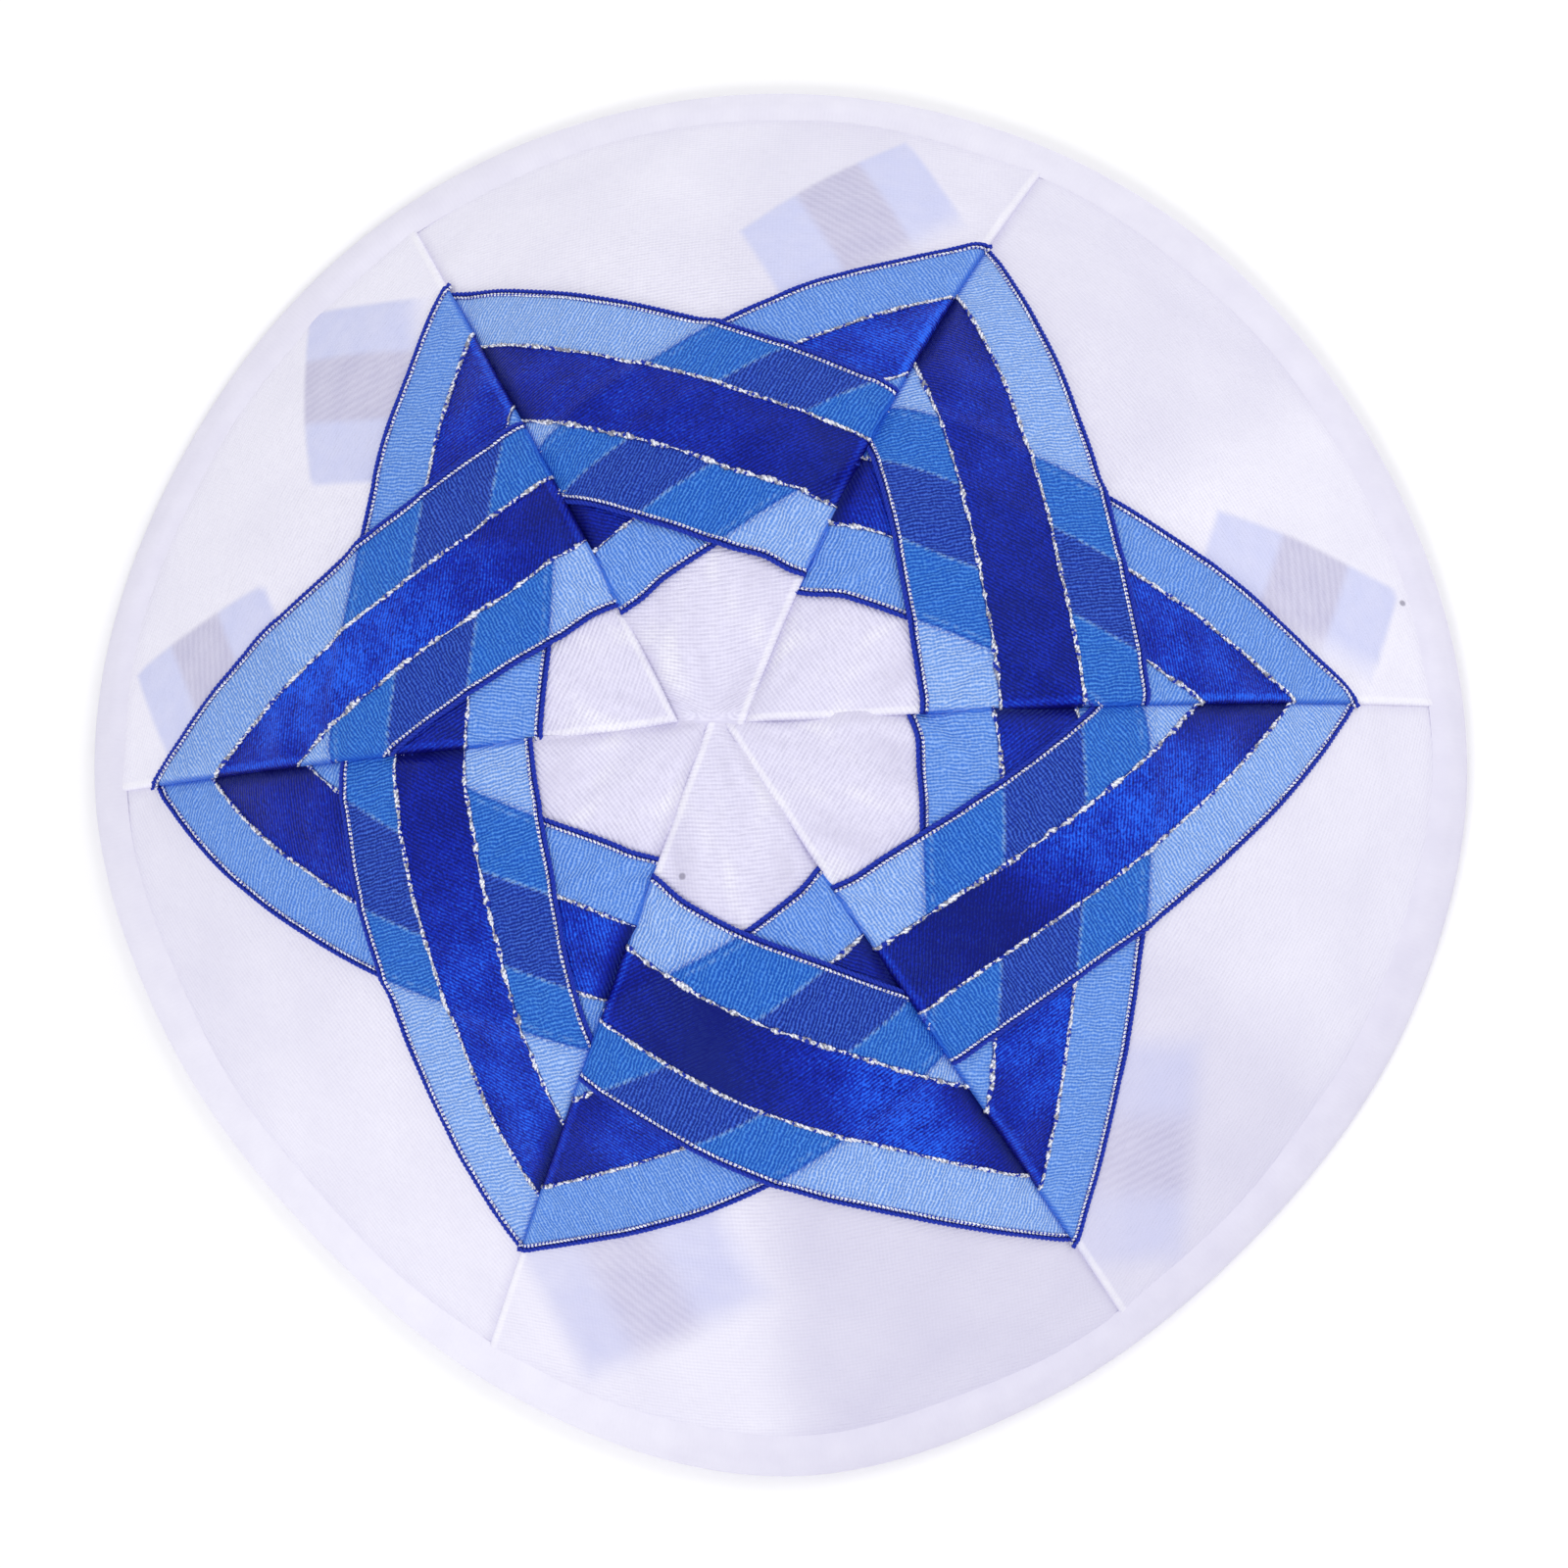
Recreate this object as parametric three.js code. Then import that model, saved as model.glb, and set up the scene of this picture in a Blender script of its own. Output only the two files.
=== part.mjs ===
// A six-panel satin skullcap that lies open side down, +Z up, in millimetres.
// Six white panels meet in radial seams, two ribbons cross on each panel so that together they
// form a six-pointed star, and a folded tape binds the rim. The crown leans a little to -X, and
// the rim lies as soft cloth does, a little out of round. The origin is the middle of the base.
import * as THREE from 'three';

// Driving dimensions.
const rimRadius = 80;        // mean radius of the whole cap, seen from above
const crownHeight = 41;      // from the rim to the crown
const crownPower = 2.6;      // 2 is a parabola; more is flatter on top and steeper at the rim
const crownLean = -8.1;      // how far the crown stands from the middle of the rim, along X
const panelWall = 1.0;       // satin and what backs it
const panelPuff = 1.8;       // how far the middle of a panel swells above its seams
const ribbonWidth = 25;
const ribbonWall = 1.0;
const ribbonRamp = 2.5;      // length over which a ribbon climbs on to the one below it
const ribbonLap = 1.2;       // how far beyond the lower ribbon's edge the climb ends
const bindingWidth = 6.5;    // how far the tape reaches up from the rim, along the cloth
const bindingWall = 1.0;
const bindingFoot = 2.0;     // width of the flat on which the rim rests
const panelTip = 1.2;        // width at which a pointed panel ends, beside the crown
const clearance = 0.3;       // between pieces that touch

// Mesh resolution.
const panelColumns = 10;
const panelRows = 12;
const underColumns = 14;
const ribbonRows = 5;
const freeColumns = 3;       // on an upper ribbon, each side of the crossing
const crossColumns = 6;      // on an upper ribbon, over the crossing
const flatSamples = 120;     // along a panel, where its flattened size is worked out

// The rim seen from above: the share of rimRadius at each angle, counter-clockwise from +X.
const rimOutline = [
  { angle: 0, share: 0.997 },
  { angle: 30, share: 0.997 },
  { angle: 60, share: 1.015 },
  { angle: 90, share: 1.023 },
  { angle: 120, share: 1.019 },
  { angle: 150, share: 1.001 },
  { angle: 180, share: 1.003 },
  { angle: 202, share: 0.972 },
  { angle: 225, share: 0.955 },
  { angle: 246, share: 0.985 },
  { angle: 270, share: 1.023 },
  { angle: 292, share: 0.987 },
  { angle: 315, share: 0.96 },
  { angle: 340, share: 0.977 },
];

// Each seam runs from near the crown to the rim. rimAngle is its angle at the rim and twist is
// how many degrees it turns on the way to the crown. lowStart and highStart say where the panels
// on its clockwise and counter-clockwise sides start it, as [x, y] shares of rimRadius from the
// crown: the seam from left to right is sewn last, so the others end on it side by side.
const seams = {
  right: { rimAngle: 6.5, twist: -4.1, lowStart: [0.014, -0.004], highStart: [0.045, 0] },
  backRight: { rimAngle: 66.9, twist: 1.5, lowStart: [0.045, 0], highStart: [0.045, 0] },
  backLeft: { rimAngle: 123.1, twist: 5.5, lowStart: [-0.051, 0], highStart: [-0.051, 0] },
  left: { rimAngle: 181.0, twist: 5.5, lowStart: [-0.051, 0], highStart: [-0.008, -0.004] },
  frontLeft: { rimAngle: 243.2, twist: 0.8, lowStart: [-0.008, -0.004], highStart: [-0.008, -0.004] },
  frontRight: { rimAngle: 302.1, twist: -3.0, lowStart: [0.014, -0.004], highStart: [0.014, -0.004] },
};

// Each panel lies between two seams, counter-clockwise from low to high. Its upper ribbon runs
// from a star point on the high seam to the inside of the low seam, and its lower ribbon the
// other way. point and inside are where the ribbon's outer edge meets the two seams, as shares
// from the crown (0) to the rim (1). The rest are shares of ribbonWidth: pointGather and
// insideGather are its width at the two seams, where the sewing draws it in or lets it spread,
// and bow is how far its middle bends towards the rim.
const panels = [
  { name: 'back_right', low: 'right', high: 'backRight',
    upper: { point: 0.798, inside: 0.564, pointGather: 1.0, insideGather: 1.08, bow: 0.03 },
    lower: { point: 0.848, inside: 0.505, pointGather: 0.92, insideGather: 1.0, bow: 0.07 } },
  { name: 'back', low: 'backRight', high: 'backLeft',
    upper: { point: 0.813, inside: 0.53, pointGather: 1.08, insideGather: 1.0, bow: 0 },
    lower: { point: 0.797, inside: 0.501, pointGather: 1.0, insideGather: 0.98, bow: 0.04 } },
  { name: 'back_left', low: 'backLeft', high: 'left',
    upper: { point: 0.9, inside: 0.549, pointGather: 0.88, insideGather: 0.95, bow: 0.04 },
    lower: { point: 0.825, inside: 0.605, pointGather: 1.0, insideGather: 1.04, bow: 0 } },
  { name: 'front_left', low: 'left', high: 'frontLeft',
    upper: { point: 0.818, inside: 0.593, pointGather: 0.89, insideGather: 0.96, bow: 0.17 },
    lower: { point: 0.898, inside: 0.525, pointGather: 0.95, insideGather: 0.84, bow: 0.18 } },
  { name: 'front', low: 'frontLeft', high: 'frontRight',
    upper: { point: 0.846, inside: 0.565, pointGather: 1.0, insideGather: 1.06, bow: 0.02 },
    lower: { point: 0.818, inside: 0.553, pointGather: 1.0, insideGather: 1.03, bow: 0.07 } },
  { name: 'front_right', low: 'frontRight', high: 'right',
    upper: { point: 0.848, inside: 0.569, pointGather: 0.96, insideGather: 1.0, bow: 0.03 },
    lower: { point: 0.85, inside: 0.561, pointGather: 0.92, insideGather: 1.08, bow: 0.06 } },
];

// Worked out from the sizes above.
const rimSlope = Math.atan((crownHeight * crownPower) / rimRadius);
const rimRun = Math.hypot(rimRadius, crownHeight * crownPower);  // cloth length for each 1 of t, at the rim
const foldRadius = panelWall / 2 + clearance + bindingWall;
const foldHeight = Math.sqrt(foldRadius ** 2 - (bindingFoot / 2) ** 2);
const bindingTop = 1 - bindingWidth / rimRun;                      // t where the tape ends
const panelEnd = 1 - (foldRadius - (panelWall / 2) * Math.sin(rimSlope)) / rimRadius;  // t of the panels' edge
const domeFoot = foldHeight + (panelWall / 2) * Math.cos(rimSlope) - crownHeight * (1 - panelEnd ** crownPower);

const radians = THREE.MathUtils.degToRad;
const lerp = THREE.MathUtils.lerp;
const clamp = THREE.MathUtils.clamp;

// The rim's radius at an angle, smoothly through the rows of rimOutline.
function rimRadiusAt(angle) {
  const n = rimOutline.length;
  const turn = ((angle % 360) + 360) % 360;
  const row = (k) => {
    const { angle: a, share } = rimOutline[((k % n) + n) % n];
    return { a: a + 360 * Math.floor(k / n), share };
  };
  let i = n - 1;
  while (row(i).a > turn) i -= 1;
  const [p, q, r, s] = [row(i - 1), row(i), row(i + 1), row(i + 2)];
  const h = r.a - q.a;
  const f = (turn - q.a) / h;
  const startSlope = ((r.share - p.share) / (r.a - p.a)) * h;
  const endSlope = ((s.share - q.share) / (s.a - q.a)) * h;
  const share = (1 + 2 * f) * (1 - f) ** 2 * q.share + f * (1 - f) ** 2 * startSlope
    + f * f * (3 - 2 * f) * r.share + f * f * (f - 1) * endSlope;
  return rimRadius * share;
}

// How far a point seen from above lies from the crown: 0 there, 1 at the rim.
function rimShareAt(x, y) {
  let inner = 0;
  let outer = 2;
  for (let k = 0; k < 30; k += 1) {
    const share = (inner + outer) / 2;
    const fromMiddle = x - crownLean * (1 - share);
    const angle = THREE.MathUtils.radToDeg(Math.atan2(y, fromMiddle));
    if (Math.hypot(fromMiddle, y) > rimRadiusAt(angle) * share) inner = share;
    else outer = share;
  }
  return (inner + outer) / 2;
}

// The one smooth dome on which all the panels lie, and its normal.
function domeHeight(x, y) {
  return domeFoot + crownHeight * (1 - rimShareAt(x, y) ** crownPower);
}

function domeNormal(x, y) {
  const step = 0.05;
  const slopeX = (domeHeight(x + step, y) - domeHeight(x - step, y)) / (2 * step);
  const slopeY = (domeHeight(x, y + step) - domeHeight(x, y - step)) / (2 * step);
  return new THREE.Vector3(-slopeX, -slopeY, 1).normalize();
}

// A panel's surface and its flattened size.
class Panel {
  constructor(row) {
    this.row = row;
    this.low = seams[row.low];
    this.high = seams[row.high];
    this.rowShares = [];
    this.lengths = [0];
    this.widths = [];
    let last = null;
    for (let i = 0; i <= flatSamples; i += 1) {
      const t = i / flatSamples;
      this.rowShares.push(t);
      const middle = this.dome(0.5, t);
      if (last) this.lengths.push(this.lengths[i - 1] + middle.distanceTo(last));
      last = middle;
      this.widths.push(this.widthAcross(t));
    }
  }

  // u runs from 0 at the low seam to 1 at the high one, and t from 0 at the crown to 1 at the rim.
  dome(u, t) {
    const lowAngle = this.low.rimAngle + this.low.twist * (1 - t);
    const highAngle = this.high.rimAngle + this.high.twist * (1 - t);
    const turn = highAngle < lowAngle ? 360 : 0;
    const angle = lerp(lowAngle, highAngle + turn, u);
    const reach = rimRadiusAt(angle) * t;
    const settle = rimRadius * (1 - t) ** 3;
    const [startX, startY] = [0, 1].map((k) => lerp(this.low.highStart[k], this.high.lowStart[k], u) * settle);
    const x = crownLean * (1 - t) + reach * Math.cos(radians(angle)) + startX;
    const y = reach * Math.sin(radians(angle)) + startY;
    return new THREE.Vector3(x, y, domeHeight(x, y));
  }

  widthAcross(t) {
    const steps = 12;
    let width = 0;
    for (let i = 0; i < steps; i += 1) {
      width += this.dome(i / steps, t).distanceTo(this.dome((i + 1) / steps, t));
    }
    return width;
  }

  puff(u, t) {
    const across = 1 - Math.abs(2 * u - 1) ** 3;
    const along = clamp(t / bindingTop, 0, 1);
    return panelPuff * across * 4 * along * (1 - along);
  }

  // A point that stands `offset` above the panel's outer face.
  point(u, t, offset) {
    const base = this.dome(u, t);
    return base.clone().addScaledVector(domeNormal(base.x, base.y), this.puff(u, t) + offset);
  }

  sample(values, t) {
    const f = clamp(t, 0, 1) * flatSamples;
    const i = Math.min(Math.floor(f), flatSamples - 1);
    return lerp(values[i], values[i + 1], f - i);
  }

  // The panel laid flat, with the crown at the origin and the rim towards +y.
  flat(u, t) {
    const length = this.sample(this.lengths, t);
    const angle = (0.5 - u) * this.sample(this.widths, t) / length;
    return new THREE.Vector2(length * Math.sin(angle), length * Math.cos(angle));
  }

  rowAt(length) {
    let i = 0;
    while (i < flatSamples - 1 && this.lengths[i + 1] < length) i += 1;
    const f = (length - this.lengths[i]) / (this.lengths[i + 1] - this.lengths[i]);
    return clamp((i + f) / flatSamples, 0, 1);
  }

  // Back from the flat panel to u and t.
  unflatten(p) {
    const length = p.length();
    const t = this.rowAt(length);
    return { u: 0.5 - Math.atan2(p.x, p.y) * length / this.sample(this.widths, t), t };
  }

  inset(t) {
    return clearance / 2 / this.sample(this.widths, t);
  }

  tipRow() {
    let t = 0;
    while (this.widthAcross(t) < panelTip) t += 0.001;
    return t;
  }
}

// A closed slab between two grids of points with the same rows and columns.
function slab(top, bottom) {
  const rows = top.length;
  const columns = top[0].length;
  const points = [...top.flat(), ...bottom.flat()];
  const upper = (i, j) => i * columns + j;
  const lower = (i, j) => rows * columns + i * columns + j;
  const faces = [];
  const quad = (a, b, c, d) => faces.push(a, b, c, a, c, d);
  for (let i = 0; i < rows - 1; i += 1) {
    for (let j = 0; j < columns - 1; j += 1) {
      quad(upper(i, j), upper(i + 1, j), upper(i + 1, j + 1), upper(i, j + 1));
      quad(lower(i, j), lower(i, j + 1), lower(i + 1, j + 1), lower(i + 1, j));
    }
  }
  for (let i = 0; i < rows - 1; i += 1) {
    quad(upper(i, 0), lower(i, 0), lower(i + 1, 0), upper(i + 1, 0));
    quad(upper(i + 1, columns - 1), lower(i + 1, columns - 1), lower(i, columns - 1), upper(i, columns - 1));
  }
  for (let j = 0; j < columns - 1; j += 1) {
    quad(upper(0, j + 1), lower(0, j + 1), lower(0, j), upper(0, j));
    quad(upper(rows - 1, j), lower(rows - 1, j), lower(rows - 1, j + 1), upper(rows - 1, j + 1));
  }
  return solidFrom(points, faces);
}

function solidFrom(points, faces) {
  const geometry = new THREE.BufferGeometry();
  geometry.setAttribute('position', new THREE.Float32BufferAttribute(points.flatMap((p) => p.toArray()), 3));
  geometry.setIndex(faces);
  geometry.computeVertexNormals();
  return geometry;
}

// One satin panel, from its tip at the crown to its edge in the rim tape.
function panelGeometry(panel) {
  const tip = panel.tipRow();
  const grid = (offset) => Array.from({ length: panelRows + 1 }, (_, i) => {
    const t = lerp(tip, panelEnd, i / panelRows);
    const edge = panel.inset(t);
    return Array.from({ length: panelColumns + 1 }, (__, j) => (
      panel.point(lerp(edge, 1 - edge, j / panelColumns), t, offset)));
  });
  return slab(grid(0), grid(-panelWall));
}

// The lines that a ribbon follows on the flat panel, and where the seams cut them.
class Strip {
  constructor(panel, ribbon, pointSide) {
    this.panel = panel;
    this.pointSide = pointSide;
    this.bow = ribbonWidth * ribbon.bow;
    this.start = panel.flat(pointSide, ribbon.point);
    this.end = panel.flat(1 - pointSide, ribbon.inside);
    this.run = this.end.distanceTo(this.start);
    this.along = this.end.clone().sub(this.start).normalize();
    this.inward = new THREE.Vector2(-this.along.y, this.along.x);
    if (this.inward.y > 0) this.inward.negate();
    this.widthAt = (along) => ribbonWidth * lerp(ribbon.pointGather, ribbon.insideGather, along);
  }

  // A point of the ribbon: across from its outer edge (0) to its inner one (1), along from the
  // star point (0) to the inside (1).
  at(across, along) {
    const depth = across * this.widthAt(along) - this.bow * 4 * along * (1 - along);
    return this.start.clone()
      .addScaledVector(this.along, along * this.run)
      .addScaledVector(this.inward, depth);
  }

  // How far a point lies beyond the outer edge (side 0) or the inner edge (side 1).
  beyond(side, p) {
    const from = p.clone().sub(this.start);
    const along = from.dot(this.along) / this.run;
    const depth = from.dot(this.inward) + this.bow * 4 * along * (1 - along);
    return side === 0 ? -depth : depth - this.widthAt(along);
  }

  distance(p) {
    return Math.max(0, this.beyond(0, p), this.beyond(1, p));
  }

  // The value of `along` at which that line meets the seam on one side of the panel.
  cut(across, side) {
    const atPoint = side === this.pointSide;
    return boundary(atPoint ? 0.75 : 0.5, atPoint ? -0.5 : 1.5, (along) => {
      const { u, t } = this.panel.unflatten(this.at(across, along));
      const edge = 2 * this.panel.inset(t);
      return side === 1 ? u > 1 - edge : u < edge;
    });
  }

  // The value of `along` at which the line stands `margin` outside an edge of the ribbon below.
  meets(across, below, side, margin) {
    const far = [-0.5, 1.5][side];
    return boundary(1 - far, far, (along) => below.beyond(side, this.at(across, along)) > margin);
  }
}

// Where between two values a test turns from false, at `inside`, to true, at `outside`.
function boundary(inside, outside, test) {
  for (let k = 0; k < 40; k += 1) {
    const middle = (inside + outside) / 2;
    if (test(middle)) outside = middle;
    else inside = middle;
  }
  return inside;
}

// A ribbon on its panel. `columnsOf` gives the places along each line and `lift` the height
// of its underside above the panel there. Each point is raised to the ones beside it, so that
// the facets between them clear the ribbon below where a seam cuts across its edge.
function ribbonGeometry(strip, columnsOf, lift) {
  const grid = Array.from({ length: ribbonRows + 1 }, (_, i) => {
    const across = i / ribbonRows;
    return columnsOf(across).map((along) => strip.at(across, along));
  });
  const lifts = grid.map((row) => row.map(lift));
  const face = (extra) => grid.map((row, i) => row.map((flat, j) => {
    const { u, t } = strip.panel.unflatten(flat);
    const nearby = lifts.slice(Math.max(i - 1, 0), i + 2).map((values) => values[j]);
    return strip.panel.point(u, t, Math.max(...nearby) + extra);
  }));
  const [top, bottom] = [face(ribbonWall), face(0)];
  return strip.pointSide === 1 ? slab(top, bottom) : slab(top.map(reversed), bottom.map(reversed));
}

const reversed = (list) => [...list].reverse();

function lowerRibbon(strip) {
  const columnsOf = (across) => {
    const from = strip.cut(across, strip.pointSide);
    const to = strip.cut(across, 1 - strip.pointSide);
    return Array.from({ length: underColumns + 1 }, (_, i) => lerp(from, to, i / underColumns));
  };
  return ribbonGeometry(strip, columnsOf, () => clearance);
}

function upperRibbon(strip, below) {
  const step = ribbonWall + clearance;
  const lift = (flat) => {
    const climbed = (ribbonLap + ribbonRamp - below.distance(flat)) / ribbonRamp;
    return clearance + step * clamp(climbed, 0, 1);
  };
  const columnsOf = (across) => {
    const from = strip.cut(across, strip.pointSide);
    const to = strip.cut(across, 1 - strip.pointSide);
    const marks = [
      strip.meets(across, below, 0, ribbonLap + ribbonRamp),
      strip.meets(across, below, 0, ribbonLap),
      strip.meets(across, below, 1, ribbonLap),
      strip.meets(across, below, 1, ribbonLap + ribbonRamp),
    ];
    const spans = [freeColumns, 1, crossColumns, 1, freeColumns];
    const ends = [from, ...marks, to];
    const places = [from];
    spans.forEach((count, k) => {
      for (let i = 1; i <= count; i += 1) places.push(lerp(ends[k], ends[k + 1], i / count));
    });
    const least = (to - from) / 400;
    const last = places.length - 1;
    return places.map((along, i) => clamp(along, from + least * i, to - least * (last - i)));
  };
  return ribbonGeometry(strip, columnsOf, lift);
}

// The folded tape round the rim: an outer and an inner leg with the panels' edges between them,
// joined by a round fold that is pressed flat where it rests.
function bindingGeometry(panelList) {
  const loop = [];
  const halfway = (panelEnd + bindingTop) / 2;
  const flatHalf = Math.asin(bindingFoot / 2 / foldRadius);
  for (const panel of panelList) {
    for (let j = 0; j < panelColumns; j += 1) {
      const u = j / panelColumns;
      const rim = panel.dome(u, panelEnd);
      const normal = domeNormal(rim.x, rim.y);
      const centre = rim.clone().addScaledVector(normal, -panelWall / 2);
      const outward = new THREE.Vector3(normal.x, normal.y, 0).normalize();
      const tilt = Math.atan2(normal.z, Math.hypot(normal.x, normal.y));
      const down = outward.clone().multiplyScalar(Math.sin(tilt)).setZ(-Math.cos(tilt));
      const fold = (angle) => centre.clone()
        .addScaledVector(outward, foldRadius * Math.cos(angle))
        .setZ(centre.z + foldRadius * Math.sin(angle));
      const footAt = (side) => fold(-Math.PI / 2 + side * flatHalf).setZ(0);
      const leg = (offset) => [halfway, bindingTop].map((t) => panel.point(u, t, offset));
      const slot = (offset) => rim.clone().addScaledVector(normal, offset).addScaledVector(down, clearance);
      const outerFace = clearance + bindingWall;
      const innerFace = -panelWall - clearance;
      loop.push([
        ...reversed(leg(outerFace)),
        fold(tilt),
        fold(lerp(tilt, flatHalf - Math.PI / 2, 1 / 3)),
        fold(lerp(tilt, flatHalf - Math.PI / 2, 2 / 3)),
        footAt(1),
        footAt(-1),
        fold(tilt - Math.PI),
        ...leg(innerFace - bindingWall),
        ...reversed(leg(innerFace)),
        slot(innerFace),
        slot(clearance),
        ...leg(clearance),
      ]);
    }
  }
  const sides = loop[0].length;
  const faces = [];
  loop.forEach((_, i) => {
    const next = (i + 1) % loop.length;
    for (let k = 0; k < sides; k += 1) {
      const after = (k + 1) % sides;
      const [a, b, c, d] = [i * sides + k, i * sides + after, next * sides + after, next * sides + k];
      faces.push(a, b, c, a, c, d);
    }
  });
  return solidFrom(loop.flat(), faces);
}

const satin = new THREE.MeshStandardMaterial({ color: 0xe8e5f7, roughness: 0.42, metalness: 0 });
const tape = new THREE.MeshStandardMaterial({ color: 0xe4e1f2, roughness: 0.5, metalness: 0 });
const ribbonCloth = new THREE.MeshStandardMaterial({ color: 0x2a55c8, roughness: 0.38, metalness: 0 });

const skullcap = new THREE.Group();
function add(name, geometry, material) {
  const mesh = new THREE.Mesh(geometry, material.clone());
  mesh.name = name;
  skullcap.add(mesh);
}

const panelList = panels.map((row) => new Panel(row));
for (const panel of panelList) {
  const { name, upper, lower } = panel.row;
  const below = new Strip(panel, lower, 0);
  const above = new Strip(panel, upper, 1);
  add(`panel_${name}`, panelGeometry(panel), satin);
  add(`ribbon_${name}_lower`, lowerRibbon(below), ribbonCloth);
  add(`ribbon_${name}_upper`, upperRibbon(above, below), ribbonCloth);
}
add('rim_binding', bindingGeometry(panelList), tape);

// The origin goes to the middle of the base.
const box = new THREE.Box3().setFromObject(skullcap);
const middle = box.getCenter(new THREE.Vector3());
skullcap.position.set(-middle.x, -middle.y, -box.min.z);

export default skullcap;
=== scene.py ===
"""A satin skullcap with crossing ribbons, lying open side down on a pale floor.

Lengths are in millimetres until a mesh is made. Seen from above, +X is to the right and the
front of the cap is towards -Y. Shares along a panel, called t, run from 0 at the crown to 1 at
the rim, and u runs across it from its clockwise seam to its counter-clockwise one.
"""

import math

import bpy
import numpy as np
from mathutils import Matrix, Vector


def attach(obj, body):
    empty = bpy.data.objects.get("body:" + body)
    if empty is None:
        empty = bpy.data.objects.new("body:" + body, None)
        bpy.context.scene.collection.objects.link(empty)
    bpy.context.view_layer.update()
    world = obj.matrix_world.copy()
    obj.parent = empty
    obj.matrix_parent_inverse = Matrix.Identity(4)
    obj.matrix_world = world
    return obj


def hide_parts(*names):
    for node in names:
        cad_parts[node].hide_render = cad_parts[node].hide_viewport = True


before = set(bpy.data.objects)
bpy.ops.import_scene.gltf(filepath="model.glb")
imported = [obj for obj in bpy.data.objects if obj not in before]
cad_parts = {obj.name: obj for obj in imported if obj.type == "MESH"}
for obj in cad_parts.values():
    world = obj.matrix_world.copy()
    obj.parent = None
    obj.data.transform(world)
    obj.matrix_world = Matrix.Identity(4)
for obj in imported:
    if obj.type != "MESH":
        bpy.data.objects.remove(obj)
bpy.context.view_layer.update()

# Size and form of the cap, as its solids have them.
MM = 0.001
RIM_RADIUS = 80.0
CROWN_HEIGHT = 41.0
CROWN_POWER = 2.6
CROWN_LEAN = -8.1
PANEL_WALL = 1.0
PANEL_PUFF = 1.8
RIBBON_WIDTH = 25.0
BINDING_WIDTH = 6.5
BINDING_WALL = 1.0
BINDING_FOOT = 2.0
CLEARANCE = 0.3
MIDDLE = (0.333, -0.078)     # where the rim circle's centre stands from the frame's origin

# Cloth and thread.
RIBBON_WALL = 0.22
RIBBON_LIFT = 0.12           # underside of a lower ribbon above the satin
CROSS_LIFT = 0.42            # how much higher an upper ribbon passes over a lower one
CROSS_RAMP = 2.2             # length over which it climbs
CROSS_RIDGE = 0.20           # how far the lower ribbon's threads press up through the upper one
BAND_CROWN = 0.16            # how far the royal band stands up in its middle
SEAM_STEP = 0.19             # the step down at a seam, from the panel on top to the one beneath
SEAM_BULK = 0.37             # how much higher that step is where ribbons are sewn in
SLOW_WAVES = 0.10            # height of the slow waves in the satin
CROWN_FOLDS = 0.34           # height of the satin's folds near the crown
TAIL_RELIEF = 0.16           # height of a sewn-in ribbon end under the satin
WIDE_TIP = 4.0               # a panel that starts wider than this has its tip tucked down
FAR_OFF = 90.0               # stands for a seam that is too far away to matter
BANDS = (0.30, 0.66)         # where the royal band starts and ends, as shares of the width
CORD_RADIUS = 0.175          # each of the two strands of the navy edge cord
CORD_PITCH = 1.2
BEAD_RADIUS = 0.125          # each of the two strands of the metallic thread beside it
BEAD_PITCH = 1.02
BEAD_FROM_EDGE = 0.56
THREAD_RADIUS = 0.145        # each of the two strands of the threads beside the royal band
THREAD_PITCH = 1.25
FLARE = 0.8                  # how far a ribbon's edge swings towards the crown where it is sewn in
FLARE_RUN = 5.0              # length over which it does
POINT_OVERRUN = 0.45         # how far the cords of an outer edge go on past the seam at the point
SEAM_TUCK = 0.45             # how far the lower panel at a seam goes on under the upper one

RIM_OUTLINE = (              # angle in degrees, share of RIM_RADIUS
    (0, 0.997), (30, 0.997), (60, 1.015), (90, 1.023), (120, 1.019), (150, 1.001), (180, 1.003),
    (202, 0.972), (225, 0.955), (246, 0.985), (270, 1.023), (292, 0.987), (315, 0.96), (340, 0.977),
)

# Seams: angle at the rim, turn on the way to the crown, and where the panels on the clockwise
# and counter-clockwise sides start, as shares of RIM_RADIUS along X from the crown.
SEAMS = {
    "right": dict(angle=6.5, twist=-4.1, low_start=0.014, high_start=0.045),
    "backRight": dict(angle=66.9, twist=1.5, low_start=0.045, high_start=0.045),
    "backLeft": dict(angle=123.1, twist=5.5, low_start=-0.051, high_start=-0.051),
    "left": dict(angle=181.0, twist=5.5, low_start=-0.051, high_start=-0.008),
    "frontLeft": dict(angle=243.2, twist=0.8, low_start=-0.008, high_start=-0.008),
    "frontRight": dict(angle=302.1, twist=-3.0, low_start=0.014, high_start=0.014),
}

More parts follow.
